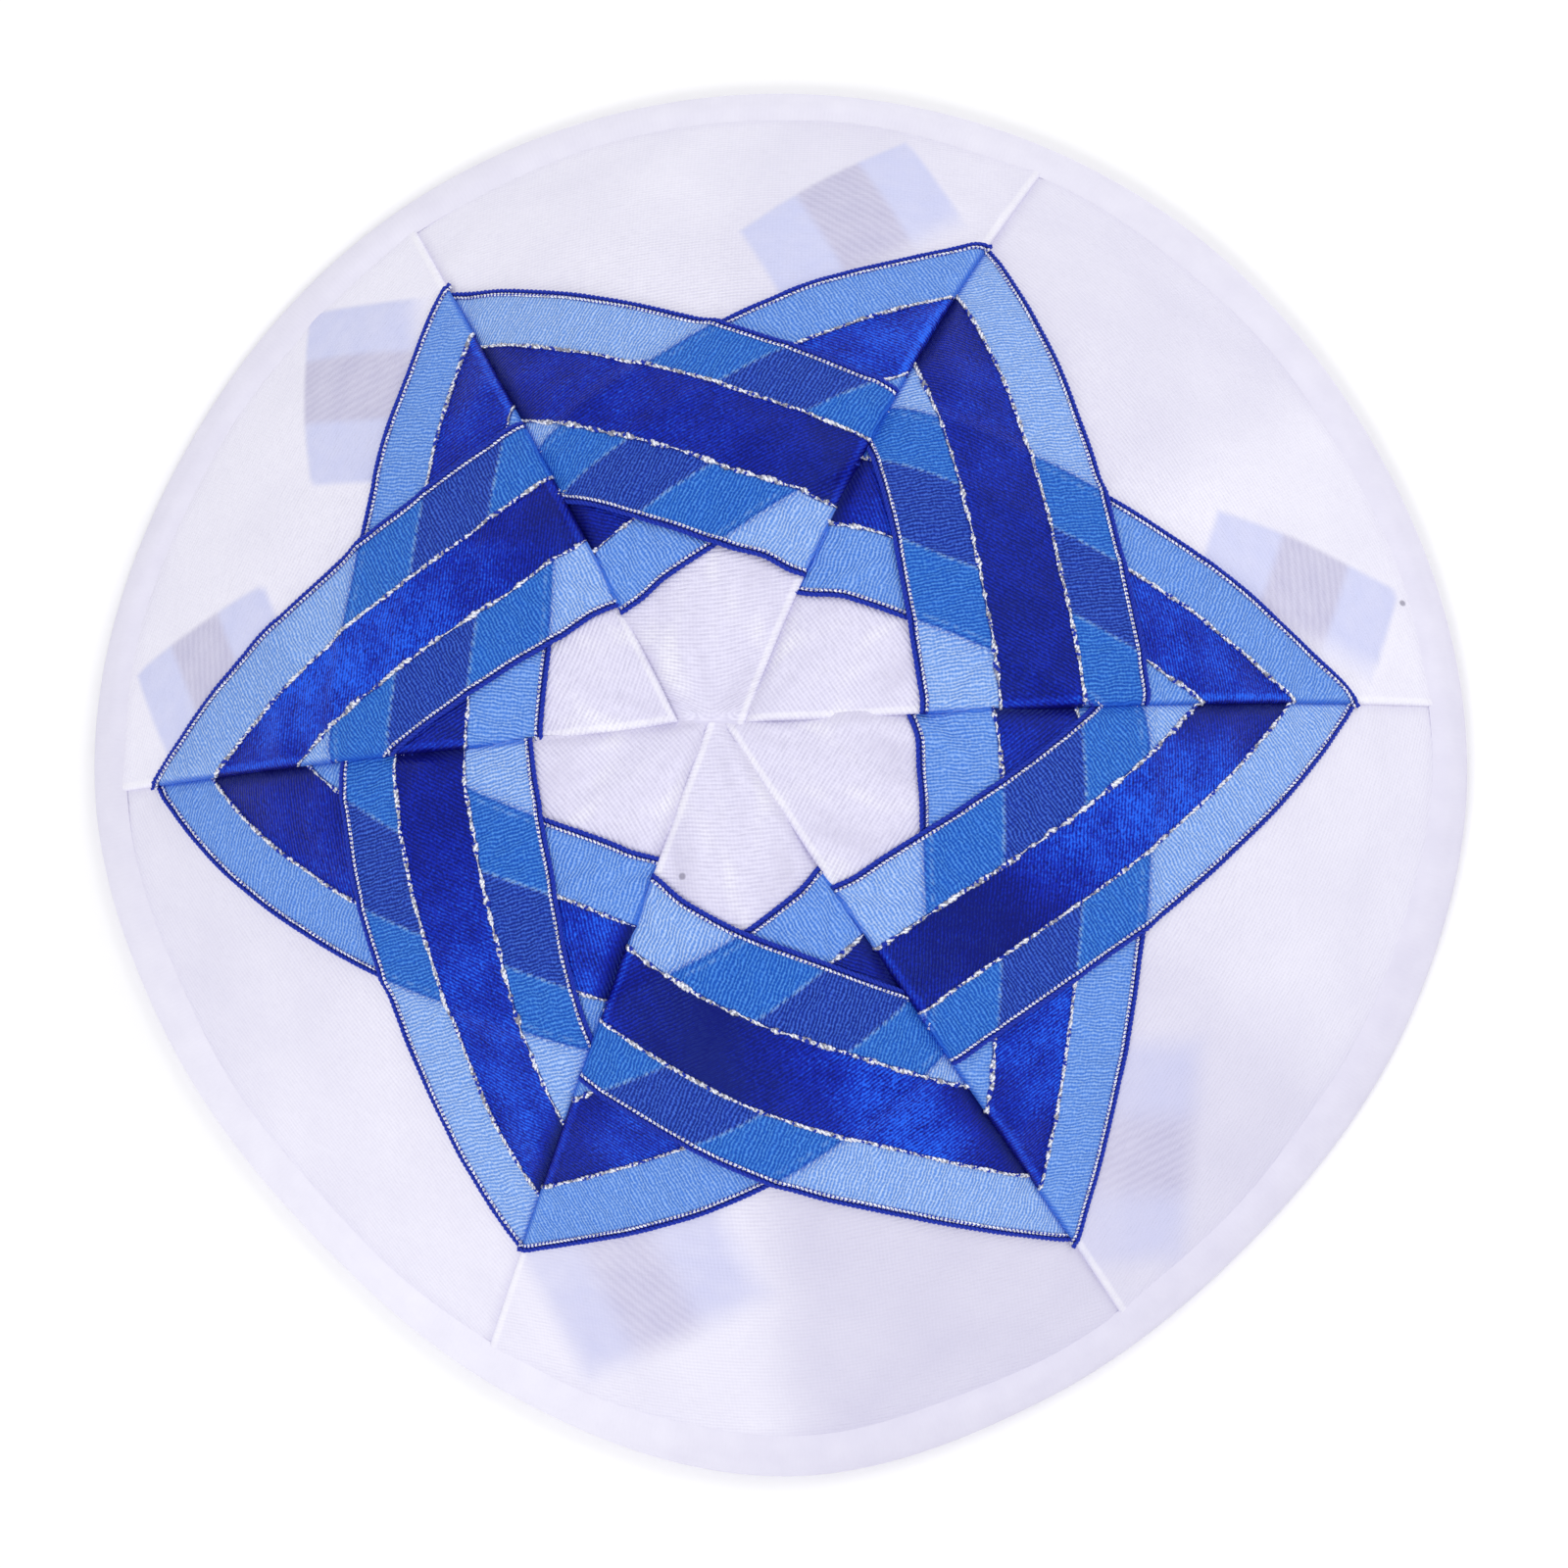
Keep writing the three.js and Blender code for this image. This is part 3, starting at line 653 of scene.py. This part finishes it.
def make_cords(name, cords, materials):
    """One piece of many twisted cords, each as twisted gives it."""
    every_point, every_face, every_kind = [], [], []
    base = 0
    for points, faces in cords:
        for group, kinds in faces:
            every_face.extend((group + base).tolist())
            every_kind.extend(kinds)
        every_point.append(points)
        base += len(points)
    mesh = bpy.data.meshes.new(name)
    mesh.from_pydata(in_frame(np.concatenate(every_point)), [], every_face)
    for material in materials:
        mesh.materials.append(material)
    mesh.polygons.foreach_set("material_index", np.array(every_kind, np.int32))
    mesh.shade_smooth()
    return add_object(mesh)


def ribbon_cords(strip, below, name, materials):
    """The navy edge cords and the metallic threads of one ribbon."""
    beside = BEAD_FROM_EDGE / RIBBON_WIDTH
    navy, bright, dark = 0, 1, 2
    # The dark steps are painted shade between the thread's glints.
    glints = np.random.default_rng(strip.gore.seed).choice((bright, bright, bright, dark, navy), 211)
    kinds = dict(cord=(CORD_RADIUS, CORD_PITCH, 5, 0.02, (navy,)),
                 bead=(BEAD_RADIUS, BEAD_PITCH, 6, 0.08, (bright, bright, navy)),
                 thread=(THREAD_RADIUS, THREAD_PITCH, 6, 0.10, glints))
    cords = []
    for k, (kind, across, lumps) in enumerate((
        ("cord", 0.0, 0.05), ("bead", beside, 0.10), ("thread", strip.bands[0], 0.4),
        ("thread", strip.bands[1], 0.9), ("bead", 1 - beside, 0.15), ("cord", 1.0, 0.05),
    )):
        radius, pitch, steps, lay, pattern = kinds[kind]
        path, normal = cord_path(strip, below, across, pitch / steps)
        cords.append(twisted(path, normal, radius, pitch, lay, pattern, lumps=lumps,
                             seed=31 + k + strip.gore.seed))
    return make_cords(name, cords, materials)


def rim_point(angle, t, offset):
    """A point near the rim, and the normal of the dome there."""
    reach = rim_radius(angle) * t
    x = CROWN_LEAN * (1 - t) + reach * np.cos(np.radians(angle))
    y = reach * np.sin(np.radians(angle))
    base = np.stack([x, y, dome_height(x, y)], axis=-1)
    normal = dome_normal(x, y)
    return base + normal * np.asarray(offset)[..., None], normal


def make_binding(material):
    """The folded tape round the rim, one closed ring."""
    count = 540
    angle = np.linspace(0, 360, count, endpoint=False)
    full = np.sin(np.radians(angle) * 9 + 1.0) * 0.10 + np.sin(np.radians(angle) * 23) * 0.06
    top_t = BINDING_TOP + 0.003 * np.sin(np.radians(angle) * 5) + 0.0015 * np.sin(np.radians(angle) * 17 + 2)
    outer = 0.15 + BINDING_WALL
    profile = []

    def leg(share, offset):
        t = top_t + (PANEL_END - top_t) * share
        point, _ = rim_point(angle, t, offset + 0 * angle)
        profile.append(point)

    for share, offset in ((0.0, -0.10), (-0.02, 0.0), (0.0, 0.06), (0.05, 0.15), (0.13, 0.30),
                          (0.25, 0.56), (0.42, 0.90), (0.62, outer - 0.05), (0.85, outer + 0.04)):
        leg(share, offset + full * smooth((offset - 0.2) / 0.6))
    rim, normal = rim_point(angle, PANEL_END + 0 * angle, 0 * angle)
    centre = rim - normal * PANEL_WALL / 2
    flat_out = unit(normal * np.array([1.0, 1.0, 0.0]))
    tilt = np.arctan2(normal[:, 2], np.hypot(normal[:, 0], normal[:, 1]))
    foot = math.asin(BINDING_FOOT / 2 / FOLD_RADIUS)

    def fold(bend):
        profile.append(centre + flat_out * (FOLD_RADIUS * np.cos(bend))[:, None]
                       + np.array([0, 0, 1]) * (FOLD_RADIUS * np.sin(bend))[:, None])

    for share in np.linspace(0, 1, 9):
        fold(tilt + (foot - math.pi / 2 - tilt) * share)
    for share in np.linspace(0, 1, 6):
        fold(-math.pi / 2 - foot + (tilt - math.pi + math.pi / 2 + foot) * share)
    inner = -PANEL_WALL - CLEARANCE - BINDING_WALL
    for share, offset in ((0.8, inner), (0.5, inner + 0.05), (0.2, inner + 0.05), (0.06, inner + 0.2),
                          (0.0, inner + 0.55), (0.03, -PANEL_WALL - 0.12),
                          (0.3, -PANEL_WALL - 0.08), (0.7, -PANEL_WALL - 0.08)):
        leg(share, offset)
    for offset in (-PANEL_WALL - 0.08, 0.06):
        point, _ = rim_point(angle, PANEL_END + 0.004 + 0 * angle, offset + 0 * angle)
        profile.append(point)
    for share, offset in ((0.7, 0.05), (0.3, 0.05)):
        leg(share, offset)
    points = np.stack(profile, axis=1)
    sides = points.shape[1]
    index = np.arange(count * sides).reshape(count, sides)
    right = np.roll(index, -1, axis=0)
    faces = np.stack([index, np.roll(index, -1, axis=1), np.roll(right, -1, axis=1), right], -1)
    steps = np.linalg.norm(np.diff(points, axis=1), axis=2)
    down = np.concatenate([np.zeros((count, 1)), np.cumsum(steps, axis=1)], axis=1)
    wrap = np.abs(angle / 180 - 1) * math.pi * RIM_RADIUS
    uv = np.stack([np.repeat(wrap[:, None], sides, axis=1), down], axis=-1) / 100
    shine = np.interp(angle, *np.array(TAPE_SHINE).T, period=360)
    painted_light = np.repeat(np.stack([shine, 0 * shine], axis=-1), sides, axis=0)
    maps = {"weave": uv.reshape(-1, 2), "painted_light": painted_light}
    return make_piece("rim_tape", points.reshape(-1, 3), faces.reshape(-1, 4), material, maps, 80)


# Materials.

class Field:
    """A number that changes over a surface. Python's operators add Math nodes."""

    def __init__(self, shader, socket):
        self.shader = shader
        self.socket = socket

    def maths(self, operation, *values):
        node = self.shader.node("ShaderNodeMath", dict(operation=operation), dict(enumerate(values)))
        return Field(self.shader, node.outputs[0])

    def __add__(self, other):
        return self.maths("ADD", self, other)

    def __radd__(self, other):
        return self.maths("ADD", other, self)

    def __sub__(self, other):
        return self.maths("SUBTRACT", self, other)

    def __rsub__(self, other):
        return self.maths("SUBTRACT", other, self)

    def __mul__(self, other):
        return self.maths("MULTIPLY", self, other)

    def __rmul__(self, other):
        return self.maths("MULTIPLY", other, self)

    def __truediv__(self, other):
        return self.maths("DIVIDE", self, other)

    def __pow__(self, other):
        return self.maths("POWER", self, other)

    def __abs__(self):
        return self.maths("ABSOLUTE", self)

    def wave(self):
        return self.maths("SINE", self)

    def held(self):
        """Kept between 0 and 1."""
        return self.maths("MINIMUM", self.maths("MAXIMUM", self, 0.0), 1.0)

    def rise(self, start, end):
        """0 before start, 1 after end, smooth between."""
        node = self.shader.node("ShaderNodeMapRange", dict(interpolation_type="SMOOTHSTEP"),
                                {"Value": self, "From Min": start, "From Max": end})
        return Field(self.shader, node.outputs[0])

    def band(self, start, end, soft):
        return self.rise(start - soft, start + soft) * (1 - self.rise(end - soft, end + soft))


class Shader:
    """One material and its nodes."""

    def __init__(self, name):
        self.material = bpy.data.materials.new(name)
        self.material.use_nodes = True
        self.tree = self.material.node_tree
        self.tree.nodes.clear()

    def node(self, kind, settings=None, inputs=None):
        node = self.tree.nodes.new(kind)
        for key, value in (settings or {}).items():
            setattr(node, key, value)
        for key, value in (inputs or {}).items():
            if isinstance(value, Field):
                value = value.socket
            if isinstance(value, bpy.types.NodeSocket):
                self.tree.links.new(value, node.inputs[key])
            else:
                node.inputs[key].default_value = value
        return node

    def map(self, name):
        """The two coordinates of a UV map."""
        node = self.node("ShaderNodeUVMap", dict(uv_map=name))
        split = self.node("ShaderNodeSeparateXYZ", None, {0: node.outputs[0]})
        return Field(self, split.outputs[0]), Field(self, split.outputs[1]), node.outputs[0]

    def place(self):
        return self.node("ShaderNodeTexCoord").outputs["Object"]

    def plan(self):
        """Object coordinates seen from above."""
        split = self.node("ShaderNodeSeparateXYZ", None, {0: self.place()})
        return Field(self, split.outputs[0]), Field(self, split.outputs[1])

    def noise(self, vector, scale, detail=2.0, roughness=0.5):
        node = self.node("ShaderNodeTexNoise", None,
                         {"Vector": vector, "Scale": scale, "Detail": detail, "Roughness": roughness})
        return Field(self, node.outputs["Fac"])

    def vector(self, x, y, z=0.0):
        return self.node("ShaderNodeCombineXYZ", None, {0: x, 1: y, 2: z}).outputs[0]

    def mix(self, factor, first, second):
        """A colour between two, each a colour or a socket."""
        first, second = ((*c, 1.0) if isinstance(c, tuple) else c for c in (first, second))
        node = self.node("ShaderNodeMix", dict(data_type="RGBA"), {0: factor, 6: first, 7: second})
        return node.outputs[2]

    def bump(self, height, distance, strength=1.0):
        node = self.node("ShaderNodeBump", None,
                         {"Height": height, "Distance": distance, "Strength": strength})
        return node.outputs[0]

    def finish(self, color, roughness, normal=None, constants=None):
        """Ends in a Principled shader. constants are sockets set to plain numbers."""
        inputs = {"Base Color": color, "Roughness": roughness, **(constants or {})}
        if normal is not None:
            inputs["Normal"] = normal
        shader = self.node("ShaderNodeBsdfPrincipled", None, inputs)
        self.node("ShaderNodeOutputMaterial", None, {0: shader.outputs[0]})
        return self.material


def srgb(*levels):
    """A colour as it looks on screen, 0 to 255, turned into the renderer's linear values."""
    return tuple(c / 255 / 12.92 if c <= 10 else ((c / 255 + 0.055) / 1.055) ** 2.4 for c in levels)


SATIN = srgb(244, 242, 255)
# Painted shade: the dim end of the satin's painted sheen from panel to panel.
SATIN_DIM = srgb(211, 208, 230)
# Painted shade of the satin near the crown.
SATIN_CROWN_SHADE = srgb(229, 226, 248)
SATIN_THREAD = srgb(203, 199, 226)
# Painted highlight and painted shade of the satin, at its folds, seams and the tape's edge.
SATIN_HIGHLIGHT = srgb(252, 251, 255)
SATIN_SHADE = srgb(204, 200, 224)
TAPE = srgb(241, 239, 252)
TAPE_SHADE = srgb(217, 214, 233)
TAIL_LIGHT = srgb(203, 207, 244)
TAIL_GREY = srgb(198, 195, 224)
TAIL_HATCH = srgb(176, 172, 206)
MARK = srgb(120, 116, 140)
# Painted shade and painted sheen of the royal satin, with its own colour between.
ROYAL_SHADE = srgb(12, 10, 108)
ROYAL = srgb(18, 33, 172)
ROYAL_HIGHLIGHT = srgb(38, 104, 248)
UPPER_ON_WHITE = srgb(139, 178, 246)
LOWER_ON_WHITE = srgb(104, 152, 236)
LIGHT_ON_TAIL = srgb(104, 150, 228)
LIGHT_ON_LIGHT = srgb(36, 100, 204)
LIGHT_ON_ROYAL = srgb(28, 54, 170)
SEAM_ON_LIGHT = srgb(40, 98, 214)
NAVY = srgb(32, 44, 158)
CORD_FIBRE = srgb(38, 58, 182)
HEM = srgb(24, 32, 128)
# Painted shadow beside a seam.
SEAM_SHADOW = srgb(12, 12, 78)
THREAD_BELOW = srgb(166, 208, 246)
# The dark and the light threads of the sheer weave, by what lies below it.
LOWER_WEAVE = (srgb(72, 122, 216), srgb(160, 196, 252))
UPPER_WEAVE = (srgb(98, 144, 226), srgb(198, 220, 255))
WEAVE_ON_LIGHT = (srgb(26, 78, 180), srgb(86, 152, 236))
WEAVE_ON_ROYAL = (srgb(20, 36, 128), srgb(72, 114, 220))
SILVER = srgb(240, 242, 252)
# Painted shade between the glints of the metallic thread.
METAL_SHADE = srgb(176, 178, 192)
METAL_DEEP_SHADE = srgb(96, 92, 112)
BLUE_SHINE = (0.20, 0.42, 1.0, 1.0)


def satin_material():
    """White satin with fine ribs across each panel, sewn-in ends showing through, and painted sheen,
    highlights and shade.
    """
    s = Shader("white_satin")
    across, along, uv = s.map("weave")
    tail_depth, tail_across, _ = s.map("tail")
    on_top, beneath, _ = s.map("seam")
    shine, reach, _ = s.map("painted_light")
    clear, _, _ = s.map("clear")
    uneven = s.noise(uv, 60.0, 3.0)
    thread = s.noise(s.vector(across * 83, along * 420), 1.0, 2.0)
    ribs = (along * (2 * math.pi * 100 / 0.50) + uneven * 3.0).wave()
    fine = (across * (2 * math.pi * 100 / 0.42) + uneven * 4.0).wave()
    weave = ribs * 0.75 + fine * 0.3 + (thread - 0.5) * 3.4
    blur = 1 - clear
    edge = blur * 0.5 + 0.06
    inside = tail_depth.rise(0 - edge, edge) * clear.rise(0.0, 0.6)
    middle = tail_across.band(TAIL_BANDS[0], TAIL_BANDS[1], blur * 0.15 + 0.03)
    hatch = ((tail_across * 24 + along * 70 + uneven) * 4.2).wave() * 0.5 + 0.5
    slow = s.noise(uv, 9.0, 2.0)
    # Painted sheen: each panel's satin lighter or darker by its shine, with slow changes.
    color = s.mix((shine + (slow - 0.5) * 0.5).held(), SATIN_DIM, SATIN)
    # Painted shade: the satin darker near the crown, where it lies flat.
    color = s.mix(1 - reach.rise(0.30, 0.60), color, SATIN_CROWN_SHADE)
    # Painted highlights and painted shade near the crown, standing in for the light on its folds.
    folds = s.noise(s.vector(across * 20, along * 8), 1.0, 1.0)
    near_crown = 1 - reach.rise(0.30, 0.50)
    color = s.mix(folds.rise(0.50, 0.72) * near_crown * 0.6, color, SATIN_HIGHLIGHT)
    color = s.mix((1 - folds.rise(0.28, 0.48)) * near_crown * 0.5, color, SATIN_SHADE)
    color = s.mix((0.4 + weave * 0.5).held() * (0.75 - reach.rise(0.3, 0.9) * 0.5), color, SATIN_THREAD)
    tail = s.mix(middle, s.mix(blur, TAIL_LIGHT, TAIL_GREY), s.mix(hatch * 0.5, TAIL_GREY, TAIL_HATCH))
    color = s.mix(inside * (0.6 + 0.4 * s.noise(uv, 30.0)), color, tail)
    # Painted highlight along the raised edge at a seam.
    color = s.mix(on_top.band(0.02, 0.085, 0.02) * (0.15 + 0.5 * uneven), color, SATIN_HIGHLIGHT)
    # Painted shade beside a seam, on the side where the panel lies beneath.
    seam_shade = (1 - beneath.rise(0.0, 0.16)) * (0.1 + 0.4 * uneven + 0.25 * near_crown)
    color = s.mix(seam_shade, color, SATIN_SHADE)
    # Painted shade on the satin where it meets the tape's edge.
    color = s.mix(reach.rise(BINDING_TOP - 0.014, BINDING_TOP) * 0.1, color, SATIN_SHADE)
    x, y = s.plan()
    for mark_x, mark_y, radius in MARKS:
        gap = (x - (mark_x + MIDDLE[0]) * MM) ** 2 + (y - (mark_y + MIDDLE[1]) * MM) ** 2
        color = s.mix((1 - (gap / (radius * MM) ** 2).rise(0.2, 1.0)) * 0.7, color, MARK)
    height = weave * (0.6 - reach.rise(0.4, 0.9) * 0.3) + inside * clear * 1.2
    return s.finish(color, 0.42 + 0.08 * uneven, s.bump(height, 0.00010, 0.6),
                    {"Specular IOR Level": 0.4})


def ribbon_material():
    """A royal satin band between sheer light ones that show what lies below."""
    s = Shader("ribbon_bands")
    across, along, uv = s.map("ribbon")
    below, below_along, _ = s.map("below")
    tail_depth, _, _ = s.map("tail")
    on_top, beneath, _ = s.map("seam")
    painted_sheen, upper, _ = s.map("painted_light")
    far = along * 100
    wide = across * RIBBON_WIDTH
    uneven = s.noise(s.vector(across * 2, along * 8), 6.0, 2.0)
    grain = s.noise(s.vector(wide * 3.0, far * 3.0), 1.0, 2.0)
    royal = across.band(BANDS[0], BANDS[1], 0.006)
    seam = 1 - on_top.maths("MINIMUM", on_top, beneath).rise(0.0, 0.06)

    # What shows through the sheer bands: an end under the satin, then the ribbon beneath.
    tail = tail_depth.rise(-0.04, 0.04)
    under = below.band(0.0, 1.0, 0.006)
    under_royal = below.band(BANDS[0], BANDS[1], 0.008)
    sheer = s.mix(upper, LOWER_ON_WHITE, UPPER_ON_WHITE)
    sheer = s.mix(tail * 0.6, sheer, LIGHT_ON_TAIL)
    # Painted shadow on the sheer just outside the edges of the ribbon beneath.
    beside = (1 - (below * -RIBBON_WIDTH).rise(0.2, 1.8)) * (1 - ((below - 1) * RIBBON_WIDTH).rise(0.2, 1.8))
    sheer = s.mix((1 - under) * beside * 0.4, sheer, LIGHT_ON_LIGHT)
    sheer = s.mix(under, sheer, LIGHT_ON_LIGHT)
    sheer = s.mix(under_royal, sheer, LIGHT_ON_ROYAL)
    hem = 0.0
    for edge in (0.0, 1.0):
        hem = hem + (1 - (abs(below - edge) * RIBBON_WIDTH).rise(0.15, 0.55))
    sheer = s.mix(hem * 0.65, sheer, ROYAL)
    lumps = s.vector(below * RIBBON_WIDTH * 0.8, below_along * 100 * 1.7)
    glints = s.noise(lumps, 1.0, 1.0).rise(0.38, 0.58)
    threads = 0.0
    for line, strength in ((0.035, 0.5), (BANDS[0], 1.0), (BANDS[1], 1.0), (0.965, 0.6)):
        threads = threads + (1 - (abs(below - line) * RIBBON_WIDTH).rise(0.08, 0.36)) * strength
    sheer = s.mix(threads * glints * 0.7, sheer, THREAD_BELOW)

    # Fine ribs across the sheer bands, fainter ones along them, and bright grains.
    ribs = (far * (2 * math.pi / 0.42) + uneven * 14.0 + wide * 0.5).wave()
    lines = (wide * (2 * math.pi / 0.38) + uneven * 9.0).wave()
    gauze = ribs * 0.8 + lines * 0.2
    dark, light = (
        s.mix(under, s.mix(upper, on_lower, on_upper), s.mix(under_royal, on_light, on_royal))
        for on_lower, on_upper, on_light, on_royal in zip(
            LOWER_WEAVE, UPPER_WEAVE, WEAVE_ON_LIGHT, WEAVE_ON_ROYAL)
    )
    sheer = s.mix((0.16 - gauze * 0.95 + (uneven - 0.5) * 1.1).held(), sheer, dark)
    sheer = s.mix((gauze * 0.55 + (grain - 0.42) * 3.0).held() * 0.85, sheer, light)
    sheer = s.mix(seam * 0.75, sheer, SEAM_ON_LIGHT)

    # The satin band: a slanting weave, streaks along the band, and slow changes in its shine, painted into
    # its colour as sheen and shade.
    twill = ((far + wide * 0.8) * (2 * math.pi / 0.5) + uneven * 7.0).wave()
    streaks = s.noise(s.vector(wide * 3.0, far * 1.2), 1.0, 2.0)
    blotches = s.noise(s.vector(wide * 0.30, far * 0.24), 1.0, 2.0)
    creases = s.noise(s.vector(wide * 0.45, far * 1.3), 1.0, 2.0)
    fine = (streaks - 0.5) * 0.7 + (grain - 0.5) * 1.3 + twill * 0.22
    shine = painted_sheen + ((blotches - 0.5) * 1.1 + fine) * (painted_sheen + 0.4) + fine * 0.4
    shine = shine + (creases - 0.5) * painted_sheen.rise(0.4, 0.9) * 1.1
    # Painted highlight along a raised seam with a painted dark line at its edge, and painted shade beside a
    # seam where the panel lies beneath.
    ridge = on_top.band(0.03, 0.10, 0.03) * 0.38 - (1 - on_top.rise(0.005, 0.03)) * 0.4
    shine = shine * (1 - (1 - beneath.rise(0.0, 0.30)) * 0.75) + ridge
    # Painted shade and painted sheen of the royal satin.
    satin = s.mix(shine.rise(-0.1, 0.5), ROYAL_SHADE, ROYAL)
    satin = s.mix(shine.rise(0.4, 1.25), satin, ROYAL_HIGHLIGHT)
    # Painted shadow on the royal satin beside a seam where the panel lies beneath.
    satin = s.mix((1 - beneath.rise(0.0, 0.17)) * 0.75, satin, SEAM_SHADOW)

    color = s.mix(royal, sheer, satin)
    from_edge = (0.5 - abs(across - 0.5)) * RIBBON_WIDTH
    from_band = abs(abs(across - (BANDS[0] + BANDS[1]) / 2) - (BANDS[1] - BANDS[0]) / 2) * RIBBON_WIDTH
    color = s.mix(1 - from_edge.rise(0.64, 0.80), color, HEM)
    color = s.mix((1 - from_band.rise(0.12, 0.26)) * 0.8, color, HEM)
    height = (royal * (twill * 0.25 + streaks * 1.4 + blotches * 3.0)
              + (1 - royal) * (gauze * 0.8 + grain * 0.8))
    roughness = 0.50 - royal * 0.16 + uneven * 0.06
    return s.finish(color, roughness, s.bump(height, 0.00011, 0.8),
                    {"Specular IOR Level": 0.4, "Specular Tint": BLUE_SHINE})


def thread_material():
    """Bright metallic thread, with spots of painted shade between its glints."""
    s = Shader("metallic_thread")
    spots = s.noise(s.place(), 2600.0, 2.0)
    color = s.mix(spots.rise(0.48, 0.62), SILVER, METAL_SHADE)
    return s.finish(color, 0.25 + spots * 0.2, None, {"Metallic": 0.5, "Specular IOR Level": 0.7})


def shaded_thread_material():
    """The darker lengths between the glints of the metallic thread, as painted shade."""
    s = Shader("shaded_metallic_thread")
    spots = s.noise(s.place(), 2600.0, 2.0)
    return s.finish(s.mix(spots, METAL_DEEP_SHADE, METAL_SHADE), 0.35 + spots * 0.2, None, {"Metallic": 0.3})


def cord_material():
    s = Shader("navy_cord")
    fibres = s.noise(s.place(), 3200.0, 3.0)
    color = s.mix(fibres, NAVY, CORD_FIBRE)
    return s.finish(color, 0.5 + fibres * 0.1, s.bump(fibres, 0.00005, 0.5),
                    {"Specular IOR Level": 0.4, "Specular Tint": BLUE_SHINE})


def tape_material():
    """White satin tape, its weave along the rim."""
    s = Shader("satin_tape")
    around, _, uv = s.map("weave")
    shine, _, _ = s.map("painted_light")
    uneven = s.noise(uv, 24.0, 3.0)
    ribs = (around * (2 * math.pi * 100 / 0.5) + uneven * 6.0).wave()
    # Painted sheen and shade of the tape round the rim.
    color = s.mix((shine + (uneven - 0.5) * 0.6).held(), TAPE_SHADE, TAPE)
    return s.finish(color, 0.5 + uneven * 0.08, s.bump(ribs * 0.15 + uneven * 3, 0.00010, 0.35),
                    {"Specular IOR Level": 0.4})


def floor_material():
    s = Shader("pale_floor")
    grain = s.noise(s.place(), 30.0, 3.0)
    return s.finish(s.mix(grain, (0.985, 0.985, 0.99), (0.965, 0.965, 0.97)), 0.8 + grain * 0.1)


# The stage: floor, light and camera.

FRAME_SIDE = 182.9 * MM      # what the picture's side spans at the rim
CAMERA_ELEVATION = 80.0
CAMERA_DISTANCE = 3.0
SENSOR = 36.0


def set_stage():
    bpy.ops.object.select_all(action="DESELECT")
    bpy.ops.mesh.primitive_plane_add(size=6.0, location=(0, 0, -0.0002))
    floor = bpy.context.object
    floor.name = "floor"
    floor.data.materials.append(floor_material())
    bpy.ops.object.transform_apply(location=True, rotation=False, scale=False)

    world = bpy.data.worlds.new("soft_light")
    world.use_nodes = True
    world.node_tree.nodes["Background"].inputs[0].default_value = (1.0, 1.0, 1.0, 1.0)
    world.node_tree.nodes["Background"].inputs[1].default_value = 0.74
    bpy.context.scene.world = world

    for name, place, size, power in (
        ("key_light", (-0.30, -0.70, 0.95), 0.5, 4.0),
        ("fill_light", (0.60, 0.62, 0.9), 0.9, 4.0),
    ):
        bpy.ops.object.light_add(type="AREA", location=place)
        light = bpy.context.object
        light.name = name
        light.data.size = size
        light.data.energy = power
        aim = Vector((0, 0, 0.02)) - Vector(place)
        light.rotation_euler = aim.to_track_quat("-Z", "Y").to_euler()

    target = Vector((MIDDLE[0] * MM, MIDDLE[1] * MM, 0))
    elevation = math.radians(CAMERA_ELEVATION)
    place = target + CAMERA_DISTANCE * Vector((0, -math.cos(elevation), math.sin(elevation)))
    bpy.ops.object.camera_add(location=place)
    camera = bpy.context.object
    camera.rotation_euler = (math.radians(90 - CAMERA_ELEVATION), 0, 0)
    camera.data.sensor_width = SENSOR
    camera.data.lens = SENSOR * CAMERA_DISTANCE / FRAME_SIDE
    camera.data.clip_end = 20
    bpy.context.scene.camera = camera
    bpy.context.scene.view_settings.view_transform = "Standard"


def declare(piece, node):
    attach(piece, "root")
    if node:
        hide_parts(node)


set_stage()
satin = satin_material()
ribbon_cloth = ribbon_material()
cord_finishes = [cord_material(), thread_material(), shaded_thread_material()]

gores = [Gore(row, 100 * (k + 1)) for k, row in enumerate(PANELS)]
for gore in gores:
    gore.tails = [Tail(gore, row) for row in TAILS if row["panel"] == gore.row["name"]]

for gore in gores:
    name = gore.row["name"]
    panel = make_panel(gore, satin)
    declare(panel, "panel_" + name)
    length = gore.length_at(PANEL_END)
    area = float(np.trapz(gore.width_at(gore.rows), gore.lengths))
    width = float(gore.width_at(1.0))
    lower = Strip(gore, gore.row["lower"], 0)
    upper = Strip(gore, gore.row["upper"], 1)
    for level, strip, below in (("lower", lower, None), ("upper", upper, lower)):
        ribbon = make_ribbon(strip, below, f"band_{name}_{level}", ribbon_cloth)
        declare(ribbon, f"ribbon_{name}_{level}")
        cords = ribbon_cords(strip, below, f"threads_{name}_{level}", cord_finishes)
        declare(cords, None)
        first, last = strip.ends(np.linspace(0, 1, 21))
        area = float((last - first).mean()) * strip.run * RIBBON_WIDTH

binding = make_binding(tape_material())
declare(binding, "rim_binding")
